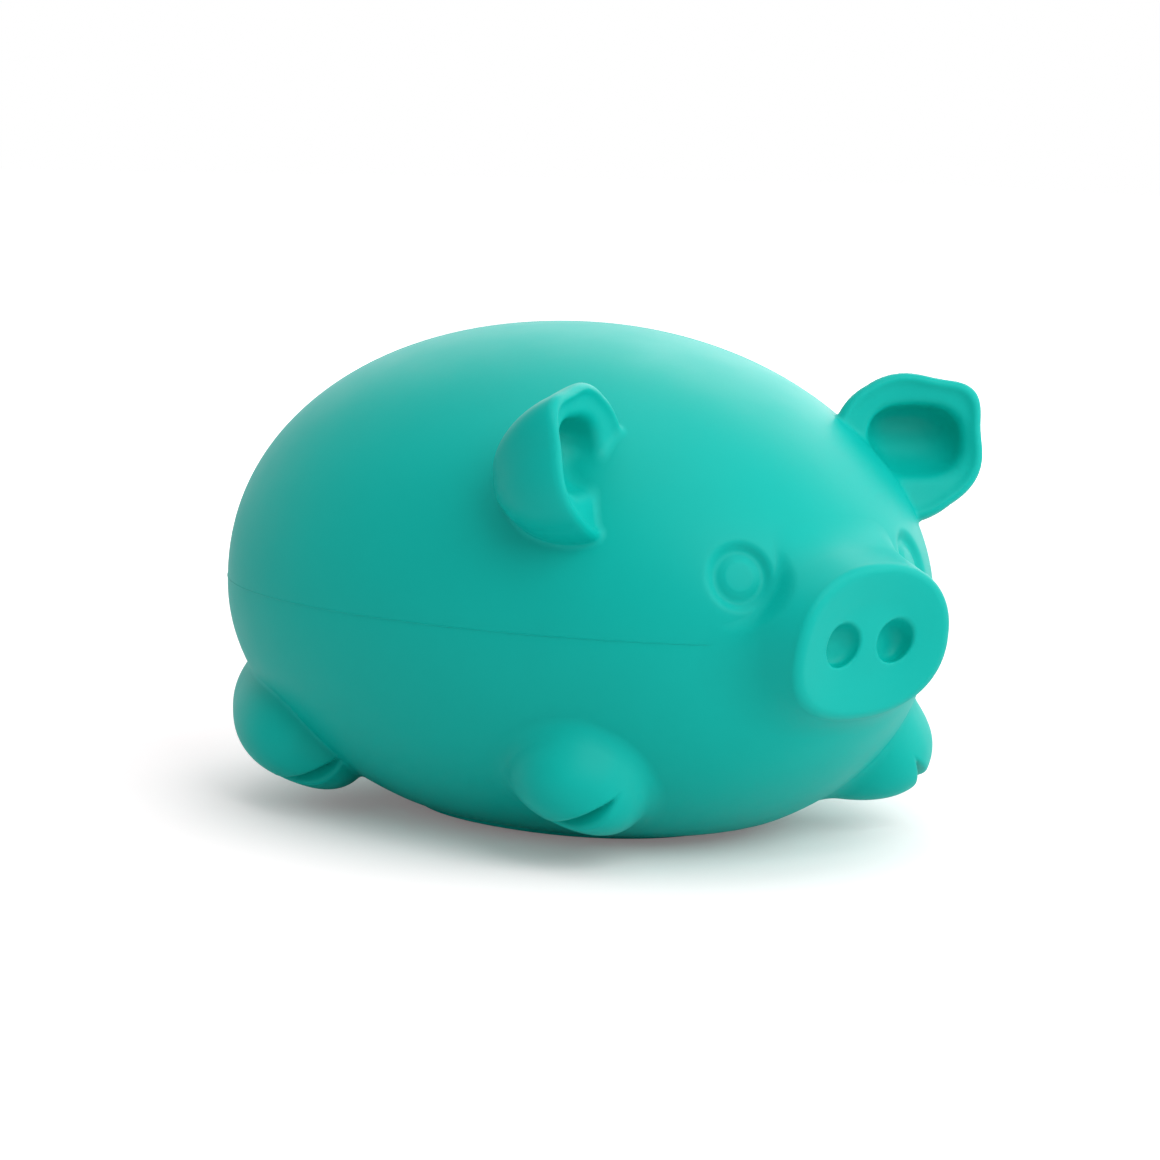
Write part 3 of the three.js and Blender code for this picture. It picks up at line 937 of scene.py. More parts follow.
@dataclass
class Outgrowth:
    """A form moulded on the skin, with a soft hollow round its root and a hidden base inside.

    Attributes:
        fillet: The size of the hollow round the root.
        base_depth: How deep the hidden base reaches below the skin.
        sink: How far the thin skirt round the root lies below the skin at its edge.
        feather: Where the skirt starts and ends to sink, in sizes of the hollow.
        skirt: How far it goes out, in sizes of the hollow.
        pitch: The grid that the form is first meshed on.
    """

    fillet: float = 1.6
    base_depth: float = 4.0
    sink: float = 0.03
    feather: tuple[float, float] = (0.7, 1.6)
    skirt: float = 1.7
    pitch: float = 0.3
    longest_edge: float = 0.6
    net_rounds: int = 3
    fine_rounds: int = 2

    def form(self, points: Points) -> np.ndarray:
        """The form's own field."""
        raise NotImplementedError

    def piece(self, points: Points) -> np.ndarray:
        """The field of the form, its hollow and its base.

        Args:
            points: The points, in millimetres.

        Returns:
            The field's values.
        """
        body, form = EGG.distance(points) - EYE.relief(points), self.form(points)
        reach = self.reach_of_fillet(points)
        joined = smooth_min(form, body, reach)
        feather = smooth_step(form / reach, *self.feather)
        shell = np.maximum(joined + self.sink * feather, -body - self.base_depth)
        return np.maximum(shell, form - self.skirt * reach)

    def reach_of_fillet(self, points: Points) -> np.ndarray:
        """The size of the hollow round the root at each point."""
        return np.full(len(points), self.fillet)

    def target(self, points: Points) -> np.ndarray:
        """The longest edge wanted at a place."""
        return np.full(len(points), self.longest_edge)

    def mesh(self, low: Points, high: Points) -> tuple[Points, Faces]:
        """A fine closed mesh of the piece, inside a box.

        Args:
            low: The box's lowest corner.
            high: The box's highest corner.

        Returns:
            The points and triangles.
        """
        points, quads = surface_net(self.piece, low, high, self.pitch)
        points = settled(self.piece, points, quads, self.net_rounds)
        faces = triangles(quads, points)
        points, faces = refined(points, faces, self.target, lambda new: new, self.fine_rounds)
        return settled(self.piece, points, faces, self.fine_rounds), faces


@dataclass
class Snout(Outgrowth):
    """The short fat disc of the snout, with a rounded rim, a dished face and two nostrils.

    Attributes:
        widening: The share of its width that the disc gains towards its chin.
        projection: How far the face is in front of the nose end of the body.
        lean: How much further forward the face is for each millimetre higher up.
        bow: How much the face curves back above and below.
        flare: How much wider the disc is at its hidden back.
        eye_room: How far the wall draws in beside an eye.
        dish_shares: Places on the face and how much of the dish is reached there.
        nostril: The nostril's radius and its half depth.
        nostril_droop: How much the nostril falls for each millimetre of depth.
    """

    half_width: float = 11.5
    half_height: float = 8.9
    widening: float = 0.05
    widening_end: float = 1.2
    rise: float = 0.2
    projection: float = 2.8
    lean: float = 0.17
    bow: float = 0.012
    rim: float = 1.0
    rim_inside: tuple[float, float] = (1.4, 0.04)
    flare: float = 2.8
    eye_room: float = 2.2
    eye_span: tuple[float, float] = (2.5, 6.0)
    length: float = 9.0
    dish: float = 1.1
    dish_shares: tuple[tuple[float, float], ...] = ((0.0, 1.0), (0.4, 0.93), (0.65, 0.5))
    power: float = 2.3
    nostril_spacing: float = 7.7
    nostril_behind: float = 1.6
    nostril: tuple[float, float] = (2.55, 4.6)
    nostril_droop: float = 0.32
    nostril_mouth: float = 0.8
    nostril_height: float = 0.97
    nostril_power: float = 3.4
    nostril_lip: float = 0.4
    fillet: float = 2.0
    eye_fillet: float = 0.3
    eye_fillet_span: tuple[float, float] = (2.5, 7.5)
    base_depth: float = 6.0
    fine_edge: float = 0.25
    longest_edge: float = 0.7
    fine_at_nostril: float = 3.8
    fine_at_eye: float = 4.5
    fine_depth: float = 6.0
    room_before: float = 2.5
    room_behind: float = 9.0
    fillets_beside: float = 3.0
    profile: Profile = field(init=False)

    def __post_init__(self) -> None:
        """Draws the outline from the middle of the face over the rim to the hidden back."""
        radius = self.middle_radius
        rims, low = self.rim_inside
        face = [(share * radius, deep * self.dish) for share, deep in self.dish_shares]
        face.append((radius - rims * self.rim, low))
        turns = np.radians([0, 30, 60, 90])
        rim = [(radius - self.rim * (1 - math.sin(t)), self.rim * (1 - math.cos(t))) for t in turns]
        wall = []
        for share in (0.25, 0.5, 0.75, 1.0):
            wall.append((radius + self.flare * share, self.rim + share * (self.length - self.rim)))
        outline = np.vstack([spline(face + rim + wall, steps=6), [(0.0, self.length)]])
        self.profile = Profile(outline)

    @property
    def middle_radius(self) -> float:
        """The radius of a round disc of about this size."""
        return (self.half_width + self.half_height) / 2

    @property
    def face(self) -> float:
        """The Y of the face."""
        return -EGG.half_length - self.projection

    @property
    def height(self) -> float:
        """The Z of the snout's middle."""
        return EGG.parting + self.rise

    def form(self, points: Points) -> np.ndarray:
        """The disc less its nostrils.

        Args:
            points: The points, in millimetres.

        Returns:
            The field's values.
        """
        x, y, z = points.T
        up = z - self.height
        behind = y - self.face + self.lean * up - self.bow * up ** 2
        share = np.clip(up / self.half_height, -self.widening_end, self.widening_end)
        wide = self.half_width * (1 - self.widening * share)
        norm = (np.abs(x / wide) ** self.power
                + np.abs(up / self.half_height) ** self.power) ** (1 / self.power)
        room = self.eye_room * (1 - smooth_step(EYE.radius(points), *self.eye_span))
        disc = self.profile.distance(norm * self.middle_radius + room, behind)
        drooped = up + self.nostril_droop * (behind - self.nostril_mouth)
        away = np.hypot(np.abs(x) - self.nostril_spacing / 2, drooped / self.nostril_height)
        local = np.stack([away, behind - self.nostril_behind], 1)
        pit = rounded_block(local, self.nostril, self.nostril_power)
        return smooth_max(disc, -pit, self.nostril_lip)

    def reach_of_fillet(self, points: Points) -> np.ndarray:
        """Less of a hollow beside the eyes, which stay clear."""
        away = smooth_step(EYE.radius(points), *self.eye_fillet_span)
        return self.fillet * (self.eye_fillet + (1 - self.eye_fillet) * away)

    def target(self, points: Points) -> np.ndarray:
        """Finer round the nostrils and beside the eyes.

        Args:
            points: The points, in millimetres.

        Returns:
            The longest edge wanted at each point.
        """
        off = np.abs(points[:, 0]) - self.nostril_spacing / 2
        away = np.hypot(off, points[:, 2] - self.height)
        front = points[:, 1] < self.face + self.fine_depth
        fine = (front & (away < self.fine_at_nostril)) | (EYE.radius(points) < self.fine_at_eye)
        return np.where(fine, self.fine_edge, self.longest_edge)

    def build(self, finish: bpy.types.Material) -> bpy.types.Object:
        """Makes the snout.

        Args:
            finish: The material.

        Returns:
            The snout.
        """
        edge = self.half_width + self.flare + self.fillets_beside * self.fillet
        tall = self.half_height + self.flare + self.fillets_beside * self.fillet
        low = np.array([-edge, self.face - self.room_before, self.height - tall])
        high = np.array([edge, self.face + self.length + self.room_behind, self.height + tall])
        snout = mesh_object("snout_disc", *self.mesh(low, high))
        snout.data.materials.append(finish)
        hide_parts("snout")
        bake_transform(snout)
        return snout


@dataclass
class Ear(Outgrowth):
    """A thick cupped leaf that opens forwards.

    Attributes:
        behind_nose: The root's distance behind the nose.
        angle: The root's angle from straight up, in degrees.
        reach: How far the tip is from the root.
        tip_point: How far the pointed tip stands out of the round leaf.
        back_lean: How far the back of the leaf is shifted for each millimetre of its depth.
        raised: How far the leaf's middle is shifted across.
        cup: The half-sizes of the hollow: across, along and deep.
        bend: Where a bend would start and end, along the leaf from its root. Not used.
        axes: Rows that point across the leaf, to its tip and out of its cup.
    """

    behind_nose: float = 19.3
    angle: float = 52.0
    reach: float = 14.3
    middle_from_tip: float = 10.5
    leaf_radius: float = 8.1
    widening: float = 0.3
    widening_lean: float = 0.6
    tip_point: float = 2.1
    tip_spread: float = 20.7
    root_depth: float = 1.35
    back_depth: float = 10.15
    back_power: float = 1.78
    back_lean: float = 0.243
    edge: float = 0.8
    edge_round: tuple[float, float] = (0.3, 0.7)
    dish: float = 1.4
    raised: float = 0.35
    low_bulge: float = 1.0
    low_bulge_turn: float = 145.0
    low_bulge_spread: float = 32.0
    cup: tuple[float, float, float] = (4.3, 5.5, 5.0)
    cup_offset: tuple[float, float, float] = (0.0, 0.9, 0.0)
    cup_turn: float = 36.0
    cup_tilt: float = 0.45
    cup_power: float = 2.7
    cup_lip: float = 1.3
    fillet: float = 0.7
    bend: tuple[float, float] = (-0.5, 6.5)
    box_half: float = 14.5
    towards_tip: tuple[float, float, float] = (-0.756, -0.276, 0.593)
    out_of_cup: tuple[float, float, float] = (0.450, -0.878, 0.165)
    profile: Profile = field(init=False)
    axes: np.ndarray = field(init=False)
    root: np.ndarray = field(init=False)

    def __post_init__(self) -> None:
        """Draws the outline from the middle of the back over the edge to the middle of the face."""
        turns = np.radians(np.linspace(0, 90, 31))
        back = np.column_stack([self.leaf_radius * np.sin(turns) ** (2 / self.back_power),
                                -self.back_depth * np.cos(turns) ** (2 / self.back_power)])
        outer, edge = self.leaf_radius, self.edge
        inwards, up = self.edge_round
        face = [(outer, 0), (outer - inwards * edge, up * edge), (outer - edge, edge)]
        for share in (0.8, 0.6, 0.4, 0.2, 0.0):
            face.append((outer * share, edge - self.dish * (1 - share ** 2)))
        self.profile = Profile(np.vstack([back[:-1], spline(face, steps=4)]))
        tip = np.array(self.towards_tip) / np.linalg.norm(self.towards_tip)
        facing = np.array(self.out_of_cup) - np.dot(self.out_of_cup, tip) * tip
        facing /= np.linalg.norm(facing)
        self.axes = np.stack([np.cross(tip, facing), tip, facing])
        self.root = EGG.skin_point(self.behind_nose, self.angle)

    def leaf(self, turn: np.ndarray) -> np.ndarray:
        """The leaf's radius round its middle: rounded, pointed at the tip, wide at the root.

        Args:
            turn: The angle round the middle, in radians.

        Returns:
            The radius.
        """
        across, up = np.cos(turn), np.sin(turn)
        from_tip = (np.degrees(turn) - 90 + 180) % 360 - 180
        from_bulge = np.degrees(turn) % 360 - self.low_bulge_turn
        return (self.leaf_radius + self.widening * across ** 2 * (1 - self.widening_lean * up)
                + self.tip_point * np.exp(-((from_tip / self.tip_spread) ** 2))
                + self.low_bulge * np.exp(-((from_bulge / self.low_bulge_spread) ** 2))
                + self.root_depth * np.maximum(0, -up))

    def form(self, points: Points) -> np.ndarray:
        """The leaf less its cup.

        Args:
            points: The points, in millimetres.

        Returns:
            The field's values.
        """
        across, along, depth = self.axes @ (points - self.root).T
        along = along - (self.reach - self.middle_from_tip)
        hollow = np.stack([across, along, depth], 1) - self.cup_offset
        hollow = hollow @ np.array(Matrix.Rotation(math.radians(self.cup_turn), 3, "Z"))
        hollow[:, 2] += self.cup_tilt * hollow[:, 0]
        cup = rounded_block(hollow, self.cup, self.cup_power)
        across = across - self.raised - self.back_lean * np.minimum(depth, 0)
        leaf = self.leaf(np.arctan2(along, across))
        radius = np.hypot(across, along) * self.leaf_radius / leaf
        return smooth_max(self.profile.distance(radius, depth), -cup, self.cup_lip)

    def build(self, side: Side, points: Points, faces: Faces,
              finish: bpy.types.Material) -> bpy.types.Object:
        """Makes one ear.

        Args:
            side: The side that it is on.
            points: The points of the right ear.
            faces: Its faces.
            finish: The material.

        Returns:
            The ear.
        """
        ear = mesh_object(f"{side.word}_ear_leaf", points, faces, side)
        ear.data.materials.append(finish)
        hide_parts(f"ear_{side.word}")
        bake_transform(ear)
        return ear

    def right_mesh(self) -> tuple[Points, Faces]:
        """The right ear's mesh.

        Returns:
            The points and triangles.
        """
        middle = self.root + self.axes[1] * (self.reach - self.middle_from_tip)
        middle = middle - self.axes[2] * self.back_depth / 2
        return self.mesh(middle - self.box_half, middle + self.box_half)


@dataclass
class Foot(Outgrowth):
    """A mitten that is wider below, with one cleft between its outer and its inner toe.

    Attributes:
        inside: The place of the mitten's middle as seen from the root.
        turned: How far the foot is turned about the upright, in degrees.
        taper: The share of its width that it gains upwards. It is below zero.
        waist: How much it is drawn in above its middle.
        cleft_start: The top of the cleft, in the frame of the foot.
        cleft_angle: The way in which the cleft runs, in degrees.
        cleft_slope: How much deeper it gets for each millimetre that it runs.
        cleft_sides: The slopes of its two sides.
        bend: Where a bend would start and end, forwards from its root. Not used.
    """

    name: str = "front_foot"
    behind_nose: float = 20.0
    angle: float = 127.0
    inside: tuple[float, float, float] = (5.8, 4.1, 6.38)
    turned: float = 0.0
    half_height: float = 11.3
    half_length: float = 12.7
    half_thickness: float = 7.6
    power: float = 2.5
    taper: float = -0.5
    taper_end: float = 1.3
    waist: float = 0.13
    waist_span: tuple[float, float] = (-0.35, 0.6)
    upwards: tuple[float, float, float] = (0.165, -0.359, 0.919)
    forwards: tuple[float, float, float] = (-0.633, -0.753, -0.180)
    cleft_start: tuple[float, float, float] = (-3.25, 12.6, 4.1)
    cleft_angle: float = 219.0
    cleft_delay: float = 2.1
    cleft_slope: float = 0.44
    cleft_depth: float = 3.6
    cleft_end: float = -3.0
    cleft_sides: tuple[float, float] = (0.06, 0.75)
    cleft_lip: float = 0.5
    pitch: float = 0.36
    fine_edge: float = 0.3
    longest_edge: float = 0.7
    fine_middle: tuple[float, float, float] = (-2.5, 0.5, -2.0)
    fine_radius: float = 6.5
    bend: tuple[float, float] = (-1.0, 5.0)
    box_shift: float = 2.0
    box_half: float = 20.0
    root: np.ndarray = field(init=False)
    middle: np.ndarray = field(init=False)
    axes: np.ndarray = field(init=False)

    def __post_init__(self) -> None:
        """Works out the foot's place and its directions: upwards, forwards and inwards."""
        self.root = EGG.skin_point(self.behind_nose, self.angle)
        self.middle = self.root + self.inside
        forwards = np.array(self.forwards) / np.linalg.norm(self.forwards)
        upwards = np.array(self.upwards) - np.dot(self.upwards, forwards) * forwards
        upwards /= np.linalg.norm(upwards)
        turn = Matrix.Rotation(math.radians(self.turned), 3, "Z")
        self.axes = np.stack([upwards, forwards, np.cross(upwards, forwards)]) @ np.array(turn).T

    def form(self, points: Points) -> np.ndarray:
        """The mitten less its cleft.

        Args:
            points: The points, in millimetres.

        Returns:
            The field's values.
        """
        local = (self.axes @ (points - self.middle).T).T
        rise = local[:, 0] / self.half_height
        tapered = self.taper * np.clip(rise, -self.taper_end, self.taper_end)
        widen = 1 + tapered - self.waist * smooth_step(rise, *self.waist_span)
        half = (self.half_height, self.half_length, self.half_thickness)
        mitten = rounded_block(local, half, self.power, widen)
        off = local - self.cleft_start
        angle = math.radians(self.cleft_angle)
        along = off[:, 0] * math.cos(angle) + off[:, 2] * math.sin(angle)
        over = off[:, 2] * math.cos(angle) - off[:, 0] * math.sin(angle)
        deeper = (along - self.cleft_delay) * self.cleft_slope
        deep = off[:, 1] + np.clip(deeper, self.cleft_end, self.cleft_depth)
        above, below = self.cleft_sides
        wedge = np.maximum((over - above * deep) / math.hypot(1, above),
                           (-over - below * deep) / math.hypot(1, below))
        return smooth_max(mitten, -wedge, self.cleft_lip)

    def target(self, points: Points) -> np.ndarray:
        """Finer round the cleft.

        Args:
            points: The points, in millimetres.

        Returns:
            The longest edge wanted at each point.
        """
        off = (self.axes @ (points - self.middle).T).T - self.cleft_start
        away = np.linalg.norm(off - self.fine_middle, axis=1)
        return np.where(away < self.fine_radius, self.fine_edge, self.longest_edge)

    def build(self, finish: bpy.types.Material) -> None:
        """Makes the pair of feet.

        Args:
            finish: The material.
        """
        middle = self.middle + self.box_shift * self.axes[1] - self.box_shift * self.axes[0]
        points, faces = self.mesh(middle - self.box_half, middle + self.box_half)
        for side in Side:
            foot = mesh_object(f"{side.word}_{self.name}_toes", points, faces, side)
            foot.data.materials.append(finish)
            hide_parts(f"{self.name}_{side.word}")
            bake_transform(foot)
            LOG.info("%s: %d faces", foot.name, len(foot.data.polygons))


@dataclass
class Tail:
    """One small moulded curl.

    Attributes:
        pitch: How far it goes out with each turn.
        lead: How far it goes straight out before it curls.
        root_depth: How far its root reaches into the body.
        round_tip: Where the rounding of the tip starts and how long it is, as shares.
        collar: How much thicker it is at the skin.
        bend: How far behind the root a bend would end. Not used.
    """

    rise: float = 7.0
    curl_radius: float = 3.1
    turns: float = 1.15
    pitch: float = 3.6
    lead: float = 1.6
    lead_share: float = 0.14
    root_depth: float = 2.5
    thickness: float = 3.0
    tip_thickness: float = 1.5
    round_tip: tuple[float, float] = (0.955, 0.045)
    collar: float = 1.1
    collar_place: tuple[float, float] = (0.07, 0.045)
    bend: float = 4.0
    steps: int = 34
    fine_steps: int = 150
    sides: int = 24

    def rule(self) -> Rule:
        """The node tree that winds a line into the curl and gives it its taper.

        Returns:
            The tree.
        """
        rule = Rule("curl_rule", {
            "Curl Radius": self.curl_radius * MM, "Turns": self.turns, "Pitch": self.pitch * MM,
            "Lead": self.lead * MM, "Root Depth": self.root_depth * MM,
            "Thickness": self.thickness * MM, "Tip Thickness": self.tip_thickness * MM,
            "Collar": self.collar * MM, "Lead Share": self.lead_share})
        size, do = rule.given, rule.sum
        line = rule.add("GeometryNodeCurvePrimitiveLine")
        cut = rule.add("GeometryNodeResampleCurve", {"Curve": line.outputs[0], "Count": self.steps})
        along = rule.add("GeometryNodeSplineParameter").outputs["Factor"]
        lead = do("MINIMUM", do("DIVIDE", along, size["Lead Share"]), 1.0)
        wound = do("MAXIMUM", do("DIVIDE", do("SUBTRACT", along, size["Lead Share"]),
                                 do("SUBTRACT", 1.0, size["Lead Share"])), 0.0)
        turned = do("MULTIPLY", wound, size["Turns"])
        turn = do("MULTIPLY", turned, 2 * math.pi)
        x = do("MULTIPLY", size["Curl Radius"], do("SINE", turn))
        z = do("MULTIPLY", size["Curl Radius"], do("SUBTRACT", 1.0, do("COSINE", turn)))
        out = do("MULTIPLY", lead, do("ADD", size["Root Depth"], size["Lead"]))
        y = do("ADD", do("SUBTRACT", out, size["Root Depth"]),
               do("MULTIPLY", size["Pitch"], turned))
        place = rule.add("ShaderNodeCombineXYZ", {0: x, 1: y, 2: z})
        moved = rule.add("GeometryNodeSetPosition",
                         {"Geometry": cut.outputs[0], "Position": place.outputs[0]})
        soft = rule.add("GeometryNodeCurveSplineType", {"Curve": moved.outputs[0]},
                        spline_type="NURBS")
        fine = rule.add("GeometryNodeResampleCurve",
                        {"Curve": soft.outputs[0], "Count": self.fine_steps})
        share = rule.add("GeometryNodeSplineParameter").outputs["Factor"]
        thick = rule.add("ShaderNodeMix", {"Factor": share, 2: size["Thickness"],
                                           3: size["Tip Thickness"]}).outputs[0]
        start, length = self.round_tip
        near_tip = do("MAXIMUM", do("DIVIDE", do("SUBTRACT", share, start), length), 0.0)
        round_tip = do("SQRT", do("MAXIMUM", do("SUBTRACT", 1.0, do("POWER", near_tip, 2.0)), 0.0))
        middle, spread = self.collar_place
        off = do("DIVIDE", do("SUBTRACT", share, middle), spread)
        bell = do("EXPONENT", do("MULTIPLY", do("POWER", off, 2.0), -1.0))
        collar = do("MULTIPLY", size["Collar"], bell)
        radius = do("ADD", do("MULTIPLY", do("MULTIPLY", thick, 0.5), round_tip), collar)
        ring = rule.add("GeometryNodeCurvePrimitiveCircle",
                        {"Resolution": self.sides, "Radius": 1.0})
        tube = rule.add("GeometryNodeCurveToMesh",
                        {"Curve": fine.outputs[0], "Profile Curve": ring.outputs[0],
                         "Scale": radius, "Fill Caps": True})
        rule.end(tube.outputs[0])
        return rule

    def build(self, finish: bpy.types.Material) -> bpy.types.Object:
        """Grows the curl out of the rump.

        Args:
            finish: The material.

        Returns:
            The tail.
        """
        root = EGG.end_point(0, self.rise, 1)
        tail = mesh_object("tail_curl_tube", np.zeros((1, 3)), [])
        self.rule().grow(tail, {}, finish)
        tail.data.transform(Matrix.Translation(Vector(root * MM)))
        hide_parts("tail")
        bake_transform(tail)
        return tail


# The skin and what closes it


@dataclass
class Skin:
    """The moulded skin: the egg with a dented ring round each eye and a flat for the patch.

    Attributes:
        patch_proud: How far the patch stands out of the skin.
        recess: How far the skin is pressed in over the patch.
        snout_hollow: How far it is pressed in behind the snout.
        eye_edges: The finest edge at an eye, its growth outwards and where that starts.
        ring_edges: The same for the patch's rim.
        no_flat: A height, in metres, that flattens nothing.
    """

    patch_radius: float = 20.5
    patch_proud: float = 0.3
    recess: float = 0.9
    flat_edge: float = 0.5
    flat_below: float = 8.0
    rest_softness: float = 2.0
    snout_hollow: float = 6.5
    hollow_span: tuple[float, float] = (0.55, 0.9)
    eye_edges: tuple[float, float, float] = (0.13, 0.4, 4.6)
    ring_edges: tuple[float, float, float] = (0.45, 0.5, 1.0)
    longest_edge: float = 1.8
    far_off: float = 9.0
    rounds: int = 5
    no_flat: float = -1.0
    line_radius: float = 0.06
    line_least: float = 0.45
    line_noise: float = 140.0
    line_detail: float = 2.0
    line_seed: float = 7.0
    line_steps: int = 420
    line_sides: int = 8

    def target(self, ball: Points) -> np.ndarray:
        """The longest edge wanted at a place of the ball: fine at the eyes and the patch.

        Args:
            ball: Points of the ball of radius 1.

        Returns:
            The longest edge, in the ball's unit.
        """
        points = EGG.ball_point(on_ball(ball))
        away = EYE.radius(points) + self.far_off * (points[:, 1] > 0)
        least, growth, start = self.eye_edges
        eye = least + growth * np.maximum(0, away - start)
        ring = np.abs(np.hypot(points[:, 0], points[:, 1]) - self.patch_radius)
        least, growth, start = self.ring_edges
        edge = least + growth * np.maximum(0, ring - start)
        edge = np.where(points[:, 2] < EGG.parting, edge, self.far_off)
        return np.minimum(np.minimum(eye, edge), self.longest_edge) / EGG.half_width

    def dent(self, points: Points) -> Points:
        """Presses the eyes' moats, the patch's flat and room for the nostrils into the egg.

        Args:
            points: The egg's points.

        Returns:
            Their new places.
        """
        _, facing = EYE.place()
        push = np.outer(EYE.relief(points), facing)
        points = points + push * np.where(points[:, :1] > 0, (-1, 1, 1), (1, 1, 1))
        points = points + self.room_behind_snout(points)
        ring = np.hypot(points[:, 0], points[:, 1])
        beyond = smooth_step(ring, self.patch_radius, self.patch_radius + self.flat_edge)
        under = (points[:, 2] < EGG.parting / 2) * (1 - beyond)
        floor = self.patch_proud + self.recess * under
        lifted = smooth_max(points[:, 2] + self.recess * under, floor, self.rest_softness)
        height = np.where(points[:, 2] < self.flat_below, lifted, points[:, 2])
        return np.column_stack([points[:, :2], height])

    def room_behind_snout(self, points: Points) -> Points:
        """How far the hidden skin behind the snout is pressed in, to leave room for its nostrils.

        Args:
            points: The points, in millimetres.

        Returns:
            The push at each point.
        """
        norm = np.hypot(points[:, 0] / Snout.half_width,
                        (points[:, 2] - EGG.parting - Snout.rise) / Snout.half_height)
        hidden = (1 - smooth_step(norm, *self.hollow_span)) * (points[:, 1] < 0)
        return np.outer(hidden * self.snout_hollow, (0, 1, 0))

    def build(self, rule: Rule, finish: bpy.types.Material) -> bpy.types.Object:
        """Makes the skin.

        Args:
            rule: The egg's tree.
            finish: The material.

        Returns:
            The skin.
        """
        ball, faces = refined(*ball_mesh(BALL_LEVELS), self.target, on_ball, self.rounds)
        skin = mesh_object("pig_skin", ball, faces, unit=1)
        rule.grow(skin, {"Flat Height": self.no_flat}, finish)
        move(skin, self.dent)
        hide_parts("skin_lower", "skin_upper")
        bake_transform(skin)
        return skin

    def line(self, finish: bpy.types.Material) -> bpy.types.Object:
        """Grows the fine uneven ridge that the mould leaves where it parts.

        Args:
            finish: The material.

        Returns:
            The ridge.
        """
        rule = Rule("parting_rule", {
            "Half Length": EGG.half_length * MM, "Half Width": EGG.half_width * MM,
            "Width Taper": EGG.width_taper, "Height": EGG.parting * MM,
            "Line Radius": self.line_radius * MM, "Seed": self.line_seed})
        size, do = rule.given, rule.sum
        circle = rule.add("GeometryNodeCurvePrimitiveCircle",
                          {"Resolution": self.line_steps, "Radius": 1.0})
        round_place = rule.add("GeometryNodeInputPosition").outputs[0]
        turn = rule.add("ShaderNodeSeparateXYZ", {0: round_place}).outputs
        narrow = do("ADD", 1.0, do("MULTIPLY", size["Width Taper"], turn[1]))
        x = do("MULTIPLY", do("MULTIPLY", size["Half Width"], turn[0]), narrow)
        y = do("MULTIPLY", size["Half Length"], turn[1])
        place = rule.add("ShaderNodeCombineXYZ", {0: x, 1: y, 2: size["Height"]})
        moved = rule.add("GeometryNodeSetPosition",
                         {"Geometry": circle.outputs[0], "Position": place.outputs[0]})
        uneven = rule.add("ShaderNodeTexNoise",
                          {"W": size["Seed"], "Scale": self.line_noise,
                           "Detail": self.line_detail},
                          noise_dimensions="4D").outputs[0]
        radius = do("MULTIPLY", size["Line Radius"], do("ADD", self.line_least, uneven))
        bead = rule.add("GeometryNodeCurvePrimitiveCircle",
                        {"Resolution": self.line_sides, "Radius": 1.0})
        tube = rule.add("GeometryNodeCurveToMesh",
                        {"Curve": moved.outputs[0], "Profile Curve": bead.outputs[0],
                         "Scale": radius})
        rule.end(tube.outputs[0])
        line = mesh_object("parting_line", np.zeros((1, 3)), [])
        rule.grow(line, {}, finish)
        move(line, lambda points: points + self.room_behind_snout(points))
        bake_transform(line)
        return line


